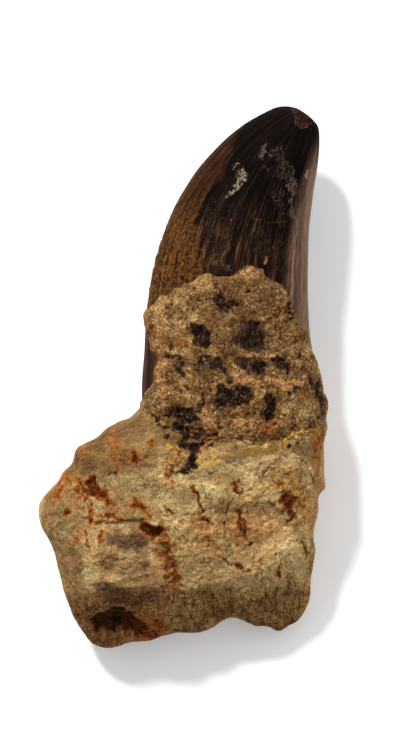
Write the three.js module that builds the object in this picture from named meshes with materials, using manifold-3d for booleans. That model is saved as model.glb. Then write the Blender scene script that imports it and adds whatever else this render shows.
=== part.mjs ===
// The tooth of a large meat-eating dinosaur, lying on its side in the sandstone that it was buried in.
//
// Two pieces. The tooth is one solid: a blunt, worn tip, a thick crown that curves back, with a low
// keel along its rear upper edge, and a root stub that ends inside the rock. The matrix is one
// solid: a broken block of sandstone with a flat underside, and a rough crust of the same rock that
// still covers the lower crown and thins out over it.
//
// Millimetres, +Z up. The specimen rests on z = 0 with the tip towards +Y; the origin is under the
// middle of its box.

import * as THREE from "three";
import { ImprovedNoise } from "three/addons/math/ImprovedNoise.js";
import { mergeVertices } from "three/addons/utils/BufferGeometryUtils.js";
import Module from "manifold-3d";

// ---- Driving dimensions ----------------------------------------------------------------------

// The tooth, seen from above: its front (convex) and rear (hollow) edges, in matched pairs from
// just below the tip to the root stub. A pair spans one cross-section.
const tipPoint = [31.3, 65.8];
const frontEdge = [
  [28.2, 67.6], [24.2, 67.9], [19.7, 66.1], [12.4, 61.4], [4.2, 52.9], [-2.6, 42.0], [-6.9, 30.0],
  [-9.0, 18.0], [-9.7, 6.0], [-10.3, -3.0], [-9.6, -9.0], [-7.2, -15.4], [-2.7, -21.9],
];
const rearEdge = [
  [33.7, 63.1], [34.1, 58.9], [33.8, 54.6], [32.6, 46.8], [31.6, 38.6], [31.2, 29.6], [31.2, 20.6],
  [31.6, 11.5], [33.0, 3.4], [34.4, -2.6], [34.0, -8.9], [32.0, -15.4], [28.2, -21.4],
];
const rootPoint = [13.4, -25.0];
const thicknessAtTip = 0.76; // of a section's width
const thicknessAtRoot = 0.62;
const toothHeight = 17.6; // of the tooth's middle plane over the ground
const tipDip = 1.6; // how much lower the tip lies than the root
const keelAngle = 0.69; // round the section from the rear edge, radians
const keelHeight = 0.7;
const keelWidth = 0.15; // radians

// The rock crust on the lower crown.
const crustThickness = 1.5;
const crustFeather = 0.4; // sections over which its edge thins out
// The line at which it starts on the crown's upper side: how far across the tooth, from -1 at the
// front edge to 1 at the rear edge, and the section there. Behind the keel the crown stays bare.
const crustLine = [
  [-1, 7.84], [-0.81, 7.67], [-0.65, 7.45], [-0.5, 7.23], [-0.39, 6.97], [-0.1, 6.9], [0.12, 6.62],
  [0.43, 6.63], [0.68, 6.75], [0.73, 7.1], [0.81, 7.53], [0.94, 7.9], [1, 8.9],
];
const crustUnderneath = 8.9; // the section at which it starts on the hidden side, halfway across
const crustEnds = [6.1, 12.3]; // the sections of its two ends, inside the tooth and inside the block
const bareStrip = { section: 9.45, turn: 3.3, sections: 1.05, turns: 0.66 }; // enamel below its front edge
const socketGap = 0.3; // clearance between the tooth and the rock

// The block, seen from above, clockwise from where it leaves the tooth's front edge. It reaches
// under the lower crown, which lies on it.
const blockMiddle = [1.8, -36.6];
const blockOutline = [
  [-8.8, -5.0], [-7.6, 2.0], [-4.0, 9.5], [4.0, 14.0], [14.0, 15.0], [24.0, 12.0], [29.8, 6.0],
  [33.2, -1.2], [36.2, -5.2], [36.2, -8.1],
  [35.7, -9.9], [36.0, -11.9], [35.0, -16.0], [35.1, -20.4], [35.3, -23.4], [35.8, -26.6],
  [35.5, -28.0], [34.1, -29.2], [33.8, -30.5], [34.2, -33.2], [33.4, -36.4], [32.8, -39.9],
  [33.3, -43.4], [32.6, -47.6], [31.8, -51.4], [32.0, -54.4], [31.6, -56.5], [30.5, -59.1],
  [28.9, -61.3], [26.3, -62.6], [24.3, -63.9], [21.3, -62.6], [18.4, -62.6], [16.0, -61.4],
  [13.5, -60.3], [11.4, -60.3], [9.8, -61.1], [7.2, -62.9], [4.2, -64.0], [-0.8, -64.1],
  [-4.0, -64.6], [-7.8, -65.9], [-11.4, -66.3], [-14.2, -66.6], [-16.5, -67.6], [-19.2, -68.0],
  [-21.8, -67.4], [-23.1, -66.6], [-25.8, -62.9], [-27.5, -59.9], [-28.5, -56.7], [-30.2, -51.4],
  [-31.1, -47.4], [-32.2, -43.6], [-33.4, -40.8], [-35.1, -37.7], [-35.8, -35.6], [-35.9, -33.1],
  [-35.7, -31.4], [-34.6, -29.4], [-32.8, -27.4], [-30.8, -25.6], [-29.8, -23.4], [-28.0, -21.7],
  [-27.4, -20.2], [-26.8, -17.6], [-24.8, -16.2], [-21.0, -14.4], [-19.4, -12.9], [-15.8, -11.0],
  [-13.4, -10.1], [-11.4, -8.1],
];
const waistHeight = 13; // of the block's widest line over the ground
const waistWander = 3.5; // how far that line rises and falls
const footStray = 2.2; // how unevenly the underside breaks off
const footShare = 0.86; // of the outline's reach that the flat underside has
// The block's upper faces: the height at x = y = 0 and the slope along X and Y of each.
const blockFaces = [
  { at: 33.2, alongX: 0.05, alongY: 0.12 }, // nearly level, a little lower at the lower left
  { at: 41.5, alongX: -0.24, alongY: 0.38 }, // falls away to the lower right
  { at: 62.8, alongX: -0.2, alongY: 0.8 }, // the broken lower end
  { at: 17.5, alongX: 0, alongY: -0.9 }, // falls away under the crown
];
const faceBlend = 2.2; // how widely two faces round into each other

// Hollows in the rock: where, seen from above, how wide along X and Y, and how deep.
const hollows = [
  { x: -18.0, y: -59.4, wide: 6.5, tall: 3.2, deep: 2.4 }, // in the broken end, lower left
  { x: 14.0, y: -58.5, wide: 4.5, tall: 3.0, deep: 1.6 },
  { x: 16.8, y: 11.4, wide: 3.8, tall: 3.5, deep: 0.9 }, // windows over the crown
  { x: 11.2, y: 18.9, wide: 2.6, tall: 1.6, deep: 1.0 },
  { x: 4.0, y: 11.2, wide: 2.0, tall: 2.9, deep: 1.0 },
  { x: 12.8, y: -5.0, wide: 4.2, tall: 2.3, deep: 1.3 },
  { x: 21.3, y: -7.6, wide: 1.8, tall: 3.8, deep: 1.3 },
  { x: 1.8, y: -9.8, wide: 3.2, tall: 3.2, deep: 1.4 },
  { x: 2.6, y: -19.6, wide: 3.4, tall: 2.8, deep: 1.2 }, // where the crust meets the block
  { x: -22.4, y: -27.6, wide: 2.8, tall: 2.4, deep: 0.7 }, // rusty pits in the block
  { x: -11.0, y: -38.4, wide: 3.4, tall: 2.2, deep: 0.8 },
  { x: -3.0, y: -48.8, wide: 2.0, tall: 4.4, deep: 0.8 },
  { x: 25.4, y: -29.8, wide: 2.2, tall: 3.4, deep: 0.8 },
];

// Ledges, where a layer of the rock has split off: how far down, how far from the line the step has
// evened out again, and the line. The lower side is on its left.
const ledges = [
  {
    drop: 1.0,
    fade: 8,
    line: [[30.0, -12.4], [28.2, -13.2], [22.2, -15.1], [16.8, -16.3], [10.1, -14.5], [4.0, -19.4]],
  },
  {
    drop: 0.9,
    fade: 9,
    line: [[-0.5, -52.0], [-1.2, -47.0], [-3.4, -42.5], [-7.0, -36.0], [-10.9, -34.9], [-21.0, -35.2]],
  },
];

const ledgeWidth = 2.6; // over which a step runs out

// How finely the skins are made.
const toothRings = 32;
const toothSides = 32;
const crustRings = 30;
const crustSides = 42;
const blockSides = 84;

// ---- Helpers ---------------------------------------------------------------------------------

const wasm = await Module();
wasm.setup();
const perlin = new ImprovedNoise();

// Low lumps of a given size and height, the same at the same place.
function lumps(x, y, z, size, height) {
  return height * perlin.noise(x / size + 40, y / size + 40, z / size + 40);
}

// The depth of the hollows at a place seen from above.
function hollowDepth(x, y) {
  return hollows.reduce((deepest, h) => {
    const reach = ((x - h.x) / h.wide) ** 2 + ((y - h.y) / h.tall) ** 2;
    return Math.max(deepest, h.deep * Math.exp(-reach));
  }, 0);
}

// The lower of two heights, rounded where they meet.
function softMin(a, b, blend) {
  const h = THREE.MathUtils.clamp(0.5 + (b - a) / (2 * blend), 0, 1);
  return THREE.MathUtils.lerp(b, a, h) - blend * h * (1 - h);
}

// A closed skin over a stack of rings with equal counts, from one end point to the other.
function skinOf(firstPoint, rings, lastPoint) {
  const sides = rings[0].length;
  const points = [firstPoint, ...rings.flat(), lastPoint];
  const last = points.length - 1;
  const corner = (ring, side) => 1 + ring * sides + (side % sides);
  const triangles = [];
  for (let side = 0; side < sides; side++) {
    triangles.push(0, corner(0, side + 1), corner(0, side));
    for (let ring = 0; ring < rings.length - 1; ring++) {
      const [a, b] = [corner(ring, side), corner(ring, side + 1)];
      const [c, d] = [corner(ring + 1, side), corner(ring + 1, side + 1)];
      triangles.push(a, d, c, a, b, d);
    }
    triangles.push(last, corner(rings.length - 1, side), corner(rings.length - 1, side + 1));
  }
  return new THREE.BufferGeometry().setFromPoints(points).setIndex(triangles);
}

// A closed geometry as a manifold-3d solid, and back.
function solidOf(geometry) {
  const bare = geometry.clone();
  bare.deleteAttribute("normal");
  bare.deleteAttribute("uv");
  const merged = mergeVertices(bare, 1e-4);
  return new wasm.Manifold(
    new wasm.Mesh({
      numProp: 3,
      vertProperties: merged.attributes.position.array,
      triVerts: new Uint32Array(merged.index.array),
    }),
  );
}

function geometryOf(solid) {
  const { vertProperties, triVerts } = solid.getMesh();
  const geometry = new THREE.BufferGeometry();
  geometry.setAttribute("position", new THREE.Float32BufferAttribute(vertProperties, 3));
  geometry.setIndex([...triVerts]);
  geometry.computeVertexNormals();
  return geometry;
}

// ---- The tooth -------------------------------------------------------------------------------

const sectionCount = frontEdge.length;
const curveThrough = (edge) =>
  new THREE.CatmullRomCurve3(
    edge.map(([x, y]) => new THREE.Vector3(x, y, 0)),
    false,
    "centripetal",
  );
const frontCurve = curveThrough([tipPoint, ...frontEdge, rootPoint]);
const rearCurve = curveThrough([tipPoint, ...rearEdge, rootPoint]);

// A point of the tooth's surface. section counts the pairs of edge points, 0 at the tip, and turn
// goes round the section from the rear edge, over the top. proud lifts the point off the surface.
function toothPoint(section, turn, proud = 0) {
  const along = section / (sectionCount + 1);
  const front = frontCurve.getPoint(along);
  const rear = rearCurve.getPoint(along);
  const half = rear.clone().sub(front).multiplyScalar(0.5);
  const middle = front.clone().add(rear).multiplyScalar(0.5);
  const halfWidth = half.length();
  const halfThickness = halfWidth * THREE.MathUtils.lerp(thicknessAtTip, thicknessAtRoot, along);
  const dip = tipDip * (1 - along) ** 2;
  const keel = keelHeight * Math.exp(-(((turn - keelAngle) / keelWidth) ** 2));
  const fade = THREE.MathUtils.smoothstep(section, 0.5, 3);
  const out = proud + keel * fade;
  return new THREE.Vector3(
    middle.x + (half.x / halfWidth) * (halfWidth + out) * Math.cos(turn),
    middle.y + (half.y / halfWidth) * (halfWidth + out) * Math.cos(turn),
    toothHeight - dip + (halfThickness + out) * Math.sin(turn),
  );
}

// The tooth's skin, or one that stands proud of it all over.
function toothSkin(proud) {
  const rings = [];
  for (let ring = 0; ring < toothRings; ring++) {
    const section = THREE.MathUtils.lerp(0.3, sectionCount + 0.5, ring / (toothRings - 1));
    const points = [];
    for (let side = 0; side < toothSides; side++)
      points.push(toothPoint(section, (2 * Math.PI * side) / toothSides, proud));
    rings.push(points);
  }
  const [tip, root] = [tipPoint, rootPoint].map(([x, y]) => new THREE.Vector3(x, y, toothHeight));
  const outward = rootPoint[1] - proud;
  return skinOf(tip.setZ(toothHeight - tipDip), rings, root.setY(outward));
}

const tooth = solidOf(toothSkin(0));

// ---- The crust on the lower crown ------------------------------------------------------------

// The section at which the crust starts, round the tooth.
function crustEdge(turn) {
  const across = Math.cos(turn);
  const next = Math.max(1, crustLine.findIndex(([x]) => x >= across));
  const [[x0, s0], [x1, s1]] = [crustLine[next - 1], crustLine[next]];
  const above = THREE.MathUtils.mapLinear(across, x0, x1, s0, s1);
  const below = Math.max(0, -Math.sin(turn)) ** 0.5;
  return THREE.MathUtils.lerp(above, crustUnderneath, below);
}

function crustPoint(section, turn) {
  const { x, y, z } = toothPoint(section, turn);
  const start = crustEdge(turn) + lumps(x, y, z, 5, 0.3);
  const cover = THREE.MathUtils.smoothstep(section, start, start + crustFeather);
  const offStrip = Math.hypot(
    (section - bareStrip.section) / bareStrip.sections,
    (turn - bareStrip.turn) / bareStrip.turns,
  );
  const kept = cover * THREE.MathUtils.smoothstep(offStrip, 0.8, 1.3);
  const sunk = Math.sin(turn) > 0 ? hollowDepth(x, y) : 0;
  const sideways = 1 - 0.45 * Math.abs(Math.cos(turn)) ** 3;
  const thick = crustThickness * sideways + lumps(x, y, z, 6, 0.6) + lumps(x, y, z, 3, 0.35) - sunk;
  return toothPoint(section, turn, THREE.MathUtils.lerp(-0.9, Math.max(0.45, thick), kept));
}

function crustSkin() {
  const rings = [];
  for (let ring = 0; ring < crustRings; ring++) {
    const section = THREE.MathUtils.lerp(...crustEnds, ring / (crustRings - 1));
    const points = [];
    for (let side = 0; side < crustSides; side++)
      points.push(crustPoint(section, (2 * Math.PI * side) / crustSides));
    rings.push(points);
  }
  const middleOf = (ring) =>
    ring.reduce((sum, p) => sum.add(p), new THREE.Vector3()).divideScalar(ring.length);
  return skinOf(middleOf(rings[0]), rings, middleOf(rings[crustRings - 1]));
}

// ---- The block -------------------------------------------------------------------------------

// How far a ledge's step takes the rock down at a point.
function stepDown(x, y, { drop, fade, line }) {
  let nearest = Infinity;
  let side = 0;
  for (let i = 1; i < line.length; i++) {
    const [[x0, y0], [x1, y1]] = [line[i - 1], line[i]];
    const [runX, runY] = [x1 - x0, y1 - y0];
    const along = ((x - x0) * runX + (y - y0) * runY) / (runX ** 2 + runY ** 2);
    const share = THREE.MathUtils.clamp(along, 0, 1);
    const off = Math.hypot(x - x0 - share * runX, y - y0 - share * runY);
    if (off >= nearest) continue;
    nearest = off;
    side = Math.sign(runX * (y - y0) - runY * (x - x0));
  }
  const step = THREE.MathUtils.smoothstep(side * nearest, -ledgeWidth / 2, ledgeWidth / 2);
  return drop * step * (1 - THREE.MathUtils.smoothstep(nearest, 0.2 * fade, fade));
}

// The height of the block's upper side before its edges round off.
function blockTop(x, y) {
  const heights = blockFaces.map((face) => face.at + face.alongX * x + face.alongY * y);
  const top = heights.reduce((a, b) => softMin(a, b, faceBlend));
  const steps = ledges.reduce((sum, ledge) => sum + stepDown(x, y, ledge), 0);
  return top + lumps(x, y, 0, 13, 1.6) + lumps(x, y, 5, 6.5, 0.9) - hollowDepth(x, y) - steps;
}

// The block's outline, counter-clockwise, and the same with its small nicks evened out.
const outline = new THREE.CatmullRomCurve3(
  blockOutline.map(([x, y]) => new THREE.Vector3(x, y, 0)),
  true,
  "centripetal",
)
  .getSpacedPoints(blockSides)
  .slice(1) // the first point comes again as the last
  .reverse();
const evened = outline.map((_, i) => {
  const reach = [-4, -3, -2, -1, 0, 1, 2, 3, 4];
  const sum = reach.reduce(
    (total, step) => total.add(outline[(i + step + blockSides) % blockSides]),
    new THREE.Vector3(),
  );
  return sum.divideScalar(reach.length);
});

// One ring of the block, at a share of the outline's reach. The nicks fade away from the waist, and
// below it the ring strays in and out, so that the underside breaks off unevenly.
function blockRing(share, heightAt, stray = 0) {
  const nicks = Math.exp(-(((1 - share) / 0.09) ** 2));
  return outline.map((nicked, i) => {
    const edge = evened[i].clone().lerp(nicked, nicks);
    const reach = share + lumps(edge.x, edge.y, 9, 9, stray) * (share - footShare / 2) * (1 - share);
    const x = THREE.MathUtils.lerp(blockMiddle[0], edge.x, reach);
    const y = THREE.MathUtils.lerp(blockMiddle[1], edge.y, reach);
    return new THREE.Vector3(x, y, heightAt(x, y, share));
  });
}

const waistAt = (x, y) => Math.min(waistHeight + lumps(x, y, 0, 11, waistWander), blockTop(x, y) / 2);
const foot = () => 0;
function flank(x, y, share) {
  const over = (share - footShare) / (1 - footShare);
  const rise = THREE.MathUtils.lerp(over, 1 - Math.sqrt(1 - over ** 2), 0.5);
  return waistAt(x, y) * rise + lumps(x, y, share * 30, 6, 3.5) * over * (1 - over);
}
function shoulder(x, y, share) {
  const waist = waistAt(x, y);
  return waist + (blockTop(x, y) - waist) * Math.sqrt(1 - share ** 9);
}

function blockSkin() {
  const rings = [
    ...[footShare / 2, footShare].map((share) => blockRing(share, foot, footStray)),
    ...[0.89, 0.92, 0.95, 0.975, 0.993].map((share) => blockRing(share, flank, footStray)),
    ...[1, 0.99, 0.965, 0.93, 0.885, 0.83, 0.77, 0.7, 0.62, 0.54, 0.45, 0.36, 0.26, 0.15].map(
      (share) => blockRing(share, shoulder),
    ),
  ];
  const bottom = new THREE.Vector3(...blockMiddle, 0);
  return skinOf(bottom, rings, bottom.clone().setZ(blockTop(...blockMiddle)));
}

// ---- The matrix: the block and the crust in one, with the socket that the tooth sits in --------

const largest = (solid) =>
  solid.decompose().reduce((best, next) => (next.volume() > best.volume() ? next : best));
const matrix = largest(
  solidOf(blockSkin()).add(solidOf(crustSkin())).subtract(solidOf(toothSkin(socketGap))),
);

// ---- The specimen ----------------------------------------------------------------------------

const enamel = new THREE.MeshStandardMaterial({ color: 0x33241a, roughness: 0.35, metalness: 0 });
const sandstone = new THREE.MeshStandardMaterial({ color: 0xa0804f, roughness: 0.95, metalness: 0 });

const specimen = new THREE.Group();
function addPiece(name, solid, material) {
  const piece = new THREE.Mesh(geometryOf(solid), material);
  piece.name = name;
  specimen.add(piece);
}
addPiece("tooth", tooth, enamel);
addPiece("matrix", matrix, sandstone);

export default specimen;
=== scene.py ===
import itertools
import math

import bmesh
import bpy
import numpy as np
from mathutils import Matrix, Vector
from mathutils.bvhtree import BVHTree


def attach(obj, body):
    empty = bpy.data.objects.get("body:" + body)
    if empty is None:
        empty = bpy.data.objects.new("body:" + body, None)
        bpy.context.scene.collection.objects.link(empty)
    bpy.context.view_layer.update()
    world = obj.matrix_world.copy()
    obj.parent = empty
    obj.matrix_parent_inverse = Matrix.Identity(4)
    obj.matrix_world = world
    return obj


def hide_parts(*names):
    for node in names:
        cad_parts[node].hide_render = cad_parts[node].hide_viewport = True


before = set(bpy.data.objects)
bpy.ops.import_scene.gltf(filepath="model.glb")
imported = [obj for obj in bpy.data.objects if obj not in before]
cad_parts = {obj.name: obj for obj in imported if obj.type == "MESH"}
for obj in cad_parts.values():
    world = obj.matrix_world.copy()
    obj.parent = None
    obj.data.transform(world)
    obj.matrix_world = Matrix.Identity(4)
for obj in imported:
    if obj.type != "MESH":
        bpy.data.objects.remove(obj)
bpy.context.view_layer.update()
mm = 0.001

# ---- The camera ------------------------------------------------------------------------------
# The specimen lies on its side and is looked at from straight above, through a long lens.
camera_aim = (6.25, 2.25, 15.5)  # mm, level with the specimen's widest line
camera_distance = 1200.0  # mm
view_height = 184.75  # mm that the picture's long side takes in
sensor = 36.0  # mm

camera = bpy.data.objects.new("camera", bpy.data.cameras.new("camera"))
bpy.context.scene.collection.objects.link(camera)
bpy.context.scene.camera = camera
camera.location = Vector(camera_aim) * mm + Vector((0, 0, camera_distance * mm))
camera.data.sensor_fit = "VERTICAL"
camera.data.sensor_height = sensor
camera.data.lens = sensor * camera_distance / view_height
camera.data.clip_start = 0.01
camera.data.clip_end = 50

# ---- The tooth -------------------------------------------------------------------------------
# A curved, blade-like crown of dark fossil enamel, with a low keel along its rear upper edge and
# a blunt, worn tip. The enamel is lost along the front edge, down to the fibrous brown dentine.
# It is one skin from the tip to the root stub in the rock. All sizes are in mm.
tip_point = (31.3, 65.8)
front_edge = [
    (28.2, 67.6), (24.2, 67.9), (19.7, 66.1), (12.4, 61.4), (4.2, 52.9), (-2.6, 42), (-6.9, 30),
    (-9, 18), (-9.7, 6), (-10.3, -3), (-9.6, -9), (-7.2, -15.4), (-2.7, -21.9),
]
rear_edge = [
    (33.7, 63.1), (34.1, 58.9), (33.8, 54.6), (32.6, 46.8), (31.6, 38.6), (31.2, 29.6),
    (31.2, 20.6), (31.6, 11.5), (33, 3.4), (34.4, -2.6), (34, -8.9), (32, -15.4), (28.2, -21.4),
]
root_point = (13.4, -25.0)
thickness_at_tip = 0.76  # of a section's width
thickness_at_root = 0.62
tooth_height = 17.6  # of the tooth's middle plane over the ground
tip_dip = 1.6  # mm that the tip bends down
tip_roundness = 0.35  # sections over which the tip rounds off
keel_angle = 0.69  # radians over the rear edge
keel_height = 0.55
keel_width = 0.085  # radians
keel_start = (0.8, 4.0)  # sections over which the keel comes up
last_section = 13.5

ring_pitch = 0.22  # mm between rings where the crown shows
hidden_ring_pitch = 1.5
first_rings = [0.012, 0.04, 0.09]  # mm from the tip, where it rounds off
shown_length = 72.0  # mm from the tip, down to just inside the crust
trial_steps = 4000  # down the tooth, from which its rings are spaced evenly
sides_above = 172
sides_below = 84


def through(points):
    """The centripetal curve through some points, as a function of a running point number."""
    points = np.array(points, float)
    knots = np.concatenate([[2 * points[0] - points[1]], points, [2 * points[-1] - points[-2]]])

    def at(number):
        number = np.clip(np.asarray(number, float), 0, len(points) - 1 - 1e-9)
        piece = number.astype(int)
        a, b, c, d = (knots[piece + step] for step in range(4))
        ab, bc, cd = (np.maximum(np.linalg.norm(q - p, axis=-1) ** 0.5, 1e-4)[..., None]
                      for p, q in ((a, b), (b, c), (c, d)))
        leave = ((b - a) / ab - (c - a) / (ab + bc) + (c - b) / bc) * bc
        arrive = ((c - b) / bc - (d - b) / (bc + cd) + (d - c) / cd) * bc
        t = (number - piece)[..., None]
        return (
            b + leave * t + (3 * (c - b) - 2 * leave - arrive) * t**2
            + (2 * (b - c) + leave + arrive) * t**3
        )

    return at


front_at = through([tip_point, *front_edge, root_point])
rear_at = through([tip_point, *rear_edge, root_point])


def smooth(value, low, high):
    t = np.clip((value - low) / (high - low), 0, 1)
    return t * t * (3 - 2 * t)


def tooth_skin(section, turn, proud=0.0):
    """Points of the tooth's skin. turn goes round a section from the rear edge, over the top."""
    front, rear = front_at(section), rear_at(section)
    middle = (front + rear) / 2
    half = (rear - front) / 2
    half_width = np.linalg.norm(half, axis=-1)
    along = section / (len(front_edge) + 1)
    share = thickness_at_tip + (thickness_at_root - thickness_at_tip) * along
    round_off = np.sqrt(1 + tip_roundness / np.maximum(section, 0.01))
    half_thickness = half_width * share * round_off
    keel = keel_height * np.exp(-(((turn - keel_angle) / keel_width) ** 2))
    out = proud + keel * smooth(section, *keel_start)
    reach = (half_width + out) / np.maximum(half_width, 1e-6)
    flat = middle + half * (reach * np.cos(turn))[..., None]
    height = tooth_height - tip_dip * (1 - along) ** 2 + (half_thickness + out) * np.sin(turn)
    return np.concatenate([flat, height[..., None]], axis=-1)


def hashed(cell, salt):
    """Three even random numbers for each cell of a grid, always the same ones."""
    mixed = cell[..., 0] * 73856093 ^ cell[..., 1] * 19349663 ^ cell[..., 2] * 83492791
    mixed = (mixed + salt * 668265263) & 0xFFFFFFFF
    mixed = ((mixed ^ (mixed >> 15)) * 2246822519) & 0xFFFFFFFF
    mixed = ((mixed ^ (mixed >> 13)) * 3266489917) & 0xFFFFFFFF
    mixed = mixed ^ (mixed >> 16)
    return np.stack([(mixed >> shift) & 1023 for shift in (0, 10, 20)], axis=-1) / 1023


def lumps(points, size, salt=0):
    """Smooth lumps of that size all over space, from about -1 to 1."""
    spot = points / size
    cell = np.floor(spot).astype(np.int64)
    inside = spot - cell
    ease = inside**3 * (inside * (inside * 6 - 15) + 10)
    total = np.zeros(points.shape[:-1])
    for corner in itertools.product((0, 1), repeat=3):
        lean = hashed(cell + np.array(corner), salt) * 2 - 1
        weight = np.prod(np.where(corner, ease, 1 - ease), axis=-1)
        total += weight * np.sum(lean * (inside - corner), axis=-1)
    return total * 1.7


def off_run(points, start, stop):
    """How far points are off a straight run, seen from above, and which side of it they are on."""
    run, off = stop - start, points[:, :2] - start
    share = np.clip(off @ run / max(run @ run, 1e-9), 0, 1)
    distance = np.linalg.norm(off - share[:, None] * run, axis=1)
    return distance, np.sign(run[0] * off[:, 1] - run[1] * off[:, 0])


def nearness(points, strokes, edge=1.2):
    """1 inside the nearest stroke, falling to 0 at its rim over the edge in mm, and to -1 outside.
    A stroke is (half width, strength, x, y, x, y, ...), seen from above."""
    best = np.full(len(points), -1.0)
    for half_width, strength, *path in strokes:
        stops = np.array(path, float).reshape(-1, 2)
        if len(stops) == 1:
            stops = np.repeat(stops, 2, axis=0)
        for start, stop in zip(stops, stops[1:]):
            distance = off_run(points, start, stop)[0]
            inside = np.minimum(1, (half_width - distance) / min(half_width, edge))
            best = np.maximum(best, strength * inside)
    return best


def rings_to_faces(rings, sides):
    """The faces between stacked rings of points, closed by a first and a last point."""
    ring, side = np.meshgrid(np.arange(rings - 1), np.arange(sides), indexing="ij")
    a = 1 + ring * sides + side
    b = 1 + ring * sides + (side + 1) % sides
    quads = np.stack([a, b, b + sides, a + sides], axis=-1).reshape(-1, 4)
    last = 1 + rings * sides
    first_fan = [(0, 1 + (s + 1) % sides, 1 + s) for s in range(sides)]
    last_fan = [(last, last - sides + s, last - sides + (s + 1) % sides) for s in range(sides)]
    return quads.tolist() + first_fan + last_fan


def make_piece(name, points, faces, fields):
    """A smooth mesh object from points in mm, with a number or a vector for each point."""
    mesh = bpy.data.meshes.new(name)
    mesh.from_pydata((points * mm).tolist(), [], faces)
    mesh.shade_smooth()
    for field, values in fields.items():
        kind, key = ("FLOAT_VECTOR", "vector") if values.ndim == 2 else ("FLOAT", "value")
        layer = mesh.attributes.new(field, kind, "POINT")
        layer.data.foreach_set(key, np.ascontiguousarray(values, np.float32).ravel())
    piece = bpy.data.objects.new(name, mesh)
    bpy.context.scene.collection.objects.link(piece)
    return piece


# Rings at an even pitch along the middle line, coarser in the rock.
trial = np.linspace(0.004, last_section, trial_steps)
middle_line = (front_at(trial) + rear_at(trial)) / 2
length = np.concatenate([[0], np.cumsum(np.linalg.norm(np.diff(middle_line, axis=0), axis=1))])
stations = np.concatenate([
    first_rings,
    np.arange(0.15, shown_length, ring_pitch),
    np.arange(shown_length, length[-1], hidden_ring_pitch),
])
sections = np.interp(stations, length, trial)
turns = np.concatenate([
    np.linspace(0, math.pi, sides_above, endpoint=False),
    np.linspace(math.pi, 2 * math.pi, sides_below, endpoint=False),
])
section, turn = (grid.ravel() for grid in np.meshgrid(sections, turns, indexing="ij"))
along = np.repeat(stations, len(turns))
bare_skin = tooth_skin(section, turn)

# Coordinates of the tooth pulled straight: round it, and down it in mm.
straight = np.stack([20 * np.cos(turn), 14 * np.sin(turn), along], axis=-1)
fibres = lumps(straight * (1, 1, 0.07), 0.8, 1)
broad_fibres = lumps(straight * (1, 1, 0.09), 2.4, 2)
upper = np.sin(turn) > 0

# The line, seen from above, in front of which the enamel is gone: the y and x of its stops.
enamel_line = [
    (18, 4.4), (28.2, 4.4), (31.9, 5.1), (34.3, 4.9), (37.7, 4.7), (38.4, 2.8), (40.4, 4),
    (43.4, 5), (45.9, 5.7), (47.9, 8.5), (52.4, 11.5), (56.5, 12.6), (60.2, 13.2), (63.4, 15.3),
    (65.5, 18.7), (67.2, 22.4),
]
line_x = np.interp(bare_skin[:, 1], *zip(*enamel_line))
line_x = np.where(upper, line_x, line_x - 3.5 + 2.0 * lumps(bare_skin, 14, 3))
line_x = line_x - 20 * smooth(bare_skin[:, 1], 17.5, 14.5)
ragged_edge = 0.5 * lumps(bare_skin, 3.0, 4) + 0.35 * fibres + 0.5 * broad_fibres
gone = line_x - bare_skin[:, 0] + ragged_edge

# Rock grit left on the enamel, and the thin haze of scratches and flecks.
grit_strokes = [
    (1.7, 1, 14.9, 50.8, 14.7, 49.4), (1.3, 1, 14.3, 48.4, 13.4, 47.4),
    (0.9, 0.95, 12.9, 46.8, 11.6, 45.3), (0.9, 0.75, 13.3, 53, 12.9, 52.2),
    (0.5, 0.7, 14.2, 52.6, 14.6, 52.2), (0.22, 0.8, 8.7, 44.6, 8.3, 43.7),
    (0.2, 0.7, 13.9, 58.6, 14, 58.2), (0.35, 0.9, 7.4, 36, 7.8, 35.2),
    (0.4, 0.9, 6.2, 33.7, 6.9, 33.5), (0.3, 0.8, 27.3, 42.6, 27.7, 39.2),
    (0.28, 0.8, 27, 47.4, 27.4, 45.2), (0.25, 0.75, 27.8, 46.4, 28, 44.6),
    (0.14, 0.9, 17.7, 40.6, 18.9, 39.2), (0.3, 0.7, 11.6, 35.6, 11.2, 33.8),
    (0.25, 0.6, 26.6, 27, 26.9, 25.4),
]
haze_strokes = [
    (1, 0.85, 19.9, 57.5, 19.6, 56.4, 19.2, 54.4), (0.5, 0.8, 19.6, 55.8, 20.8, 56.4, 22.1, 55.1),
    (0.35, 0.6, 20.4, 53.7, 20.6, 51.4), (0.8, 0.6, 25.5, 54.4, 26.6, 49.4),
    (1.3, 0.7, 26.4, 49.4, 27.3, 44.6, 27, 39.6), (0.4, 0.9, 17.2, 42.1, 17.7, 40.4, 19, 39),
    (0.22, 0.8, 19, 39, 20.7, 38.5, 23.5, 39), (0.3, 0.7, 13.4, 40.8, 11.5, 35),
    (0.7, 0.75, 11.5, 35.6, 10.5, 32.6, 9.8, 30), (1.9, 0.6, 7.6, 29.4, 10.6, 27.4),
    (1.6, 0.34, 23.4, 46.4, 24.8, 38.4), (2.2, 0.3, 18, 37, 20.6, 31),
    (1.7, 0.26, 12, 42, 11.6, 34.4), (3, 0.2, 7, 40, 7.6, 30), (2.6, 0.22, 24.5, 34, 24.8, 27),
    (1.8, 0.36, 24, 56.6, 24.6, 51),
]
stray = 0.5 * lumps(bare_skin, 0.9, 5) + 0.7 * lumps(bare_skin, 2.0, 17)
ragged = bare_skin + stray[:, None] * (1, 0.6, 0)
grit = np.where(upper, nearness(ragged, grit_strokes, 0.6), -1)
strewn = bare_skin + 1.6 * lumps(bare_skin, 2.6, 10)[:, None] * (1, 0.4, 0)
strewn = strewn + 0.5 * lumps(bare_skin, 0.7, 16)[:, None]
haze = np.where(upper, nearness(strewn, haze_strokes, 1.0), -1)

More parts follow.
